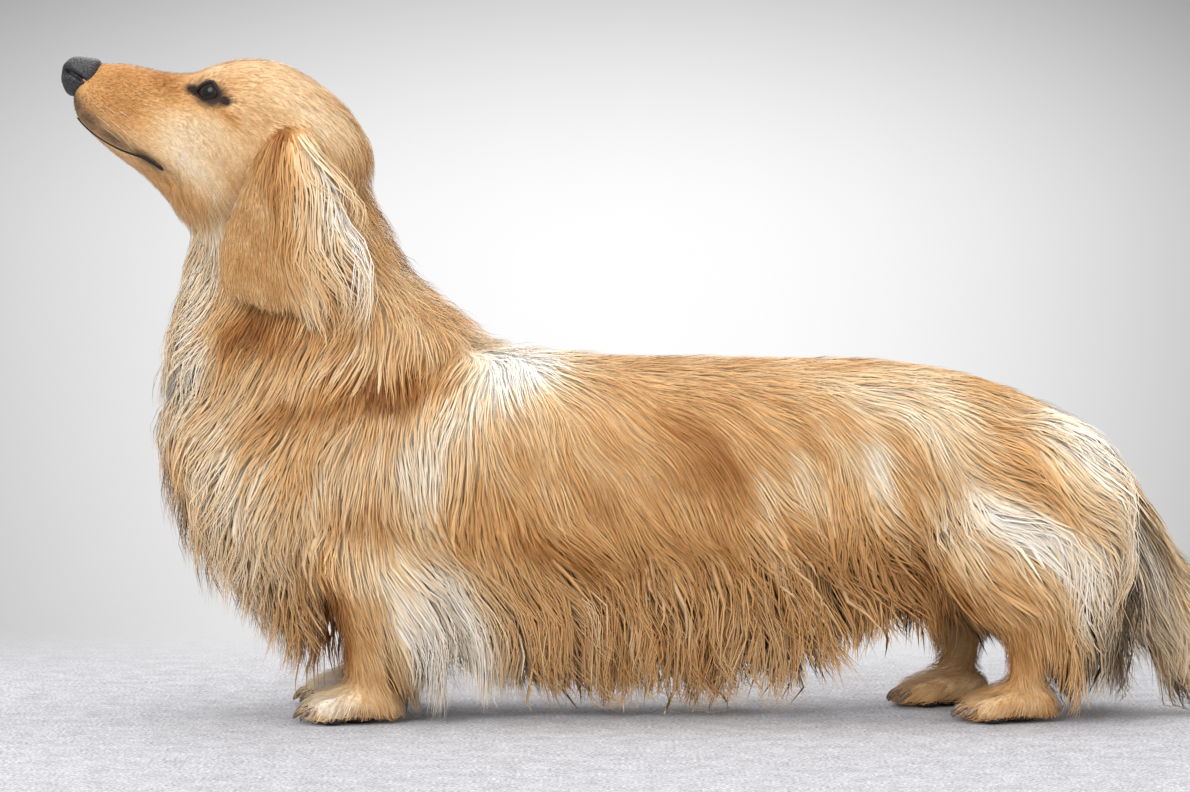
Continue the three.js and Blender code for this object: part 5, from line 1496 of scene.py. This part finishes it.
# Ears
# Suede-short hair on the front half of each flap, and a long, wavy, creamy fringe that grows
# from its base and rear half. It is only on the flap's outer side.
EAR_COMBS = [
    ((-250, 46, 352), 96, 13, 3, 0, 0.1), ((-262, 50, 340), 106, 9, 2, 0, 0),
    ((-268, 54, 322), 108, 7, 1.3, 0, 0), ((-277, 56, 298), 98, 6.5, 1.2, 0, 0),
    ((-278, 57, 272), 88, 6.5, 1.2, 0, 0), ((-266, 58, 256), 82, 7, 1.3, 0.1, 0),
    ((-258, 58, 300), 92, 7, 1.4, 0, 0), ((-252, 59, 272), 88, 8, 1.5, 0, 0),
    ((-256, 57, 320), 96, 7.5, 1.5, 0, 0), ((-250, 58, 256), 84, 9, 1.6, 0.2, 0),
    ((-264, 57, 286), 92, 6.5, 1.2, 0, 0), ((-246, 57, 288), 86, 14, 2.2, 0.1, 0.2),
    ((-236, 50, 350), 66, 44, 6, 0.2, 0.7), ((-240, 56, 332), 80, 52, 6, 0.3, 1.1),
    ((-236, 59, 305), 80, 56, 7, 0.3, 1.4), ((-236, 60, 275), 76, 36, 5, 0.4, 1.1),
    ((-224, 50, 344), 34, 84, 11, 0.3, 1.7), ((-216, 57, 322), 40, 92, 12, 0.42, 2),
    ((-214, 58, 300), 48, 84, 10, 0.48, 2), ((-216, 58, 278), 60, 62, 8, 0.55, 1.6),
    ((-228, 58, 256), 70, 34, 5, 0.6, 1), ((-246, 58, 246), 80, 12, 2, 0.6, 0.3),
]
EAR_REAR = -183  # no strand of the ears reaches further back
coat("ear_coat_", 12500, on_ear, 11, 0.6, EAR_COMBS, more_rings=2, reach=EAR_REAR)


# Tail
# The tail's own coat, long and gently waved along its top and down its sides.
# It draws together towards the tip.
coat("tail_coat_", 4400, on_tail, 13, 0.6)


# Ruff and fringes
# The long silky locks that hang free of the body under the throat, from the breast and along
# the belly. They grow thickly among the shorter coat and end in separate wavy tips.
def on_ruff(at):
    x, z = at[:, 0], at[:, 2]
    return (x < -262) & (z > 170) & (z < 285) & ~on_ear(at)


def on_breast(at):
    x, z = at[:, 0], at[:, 2]
    return (x < -226) & (z > 80) & (z < 165)


def on_belly(at):
    x, y, z = at.T
    return (x > -150) & (x < 132) & (z < 104) & (np.abs(y) < 62)


coat("ruff_coat_", 3200, on_ruff, 17, 0.5)
coat("breast_fringe_", 1400, on_breast, 19, 0.6)
coat("belly_fringe_", 2600, on_belly, 23, 0.6)


# Feathers, breeches and plume
# The creamy feathers behind the forelegs, the breeches behind the thighs, and the curtain that
# hangs from the underside of the tail.
def on_feather(at):
    x, y, z = at.T
    return (x > -184) & (x < -150) & (z > 34) & (z < 104) & (np.abs(y) > 34)


def on_breeches(at):
    x, z = at[:, 0], at[:, 2]
    return (x > 205) & (x < 256) & (z > 62) & (z < 160)


def on_plume(at):
    x, z = at[:, 0], at[:, 2]
    return (x > 230) & (x < 325) & (z < 150) & (z > 45)


coat("feather_coat_", 2000, on_feather, 29, 0.7)
coat("breeches_coat_", 2200, on_breeches, 31, 0.6)
coat("plume_", 3200, on_plume, 43, 0.65)


# Undercoat
# Wider, softer locks that lie deep under the long hair and fill it, so that no dark gap shows
# between its strands. They grow wherever the hair is long, and on the ears.
LONG_HAIR = 38


def has_long_hair(at):
    return (combed(at, COMBS)[1] > LONG_HAIR) & ~on_ear(at)


coat("undercoat_", 6200, has_long_hair, 37, 0.2, breadth=3.2, sunk=0.9)
coat(
    "ear_undercoat_", 1300, on_ear, 41, 0.3, EAR_COMBS, breadth=2.2, sunk=0.85, more_rings=2,
    reach=EAR_REAR,
)
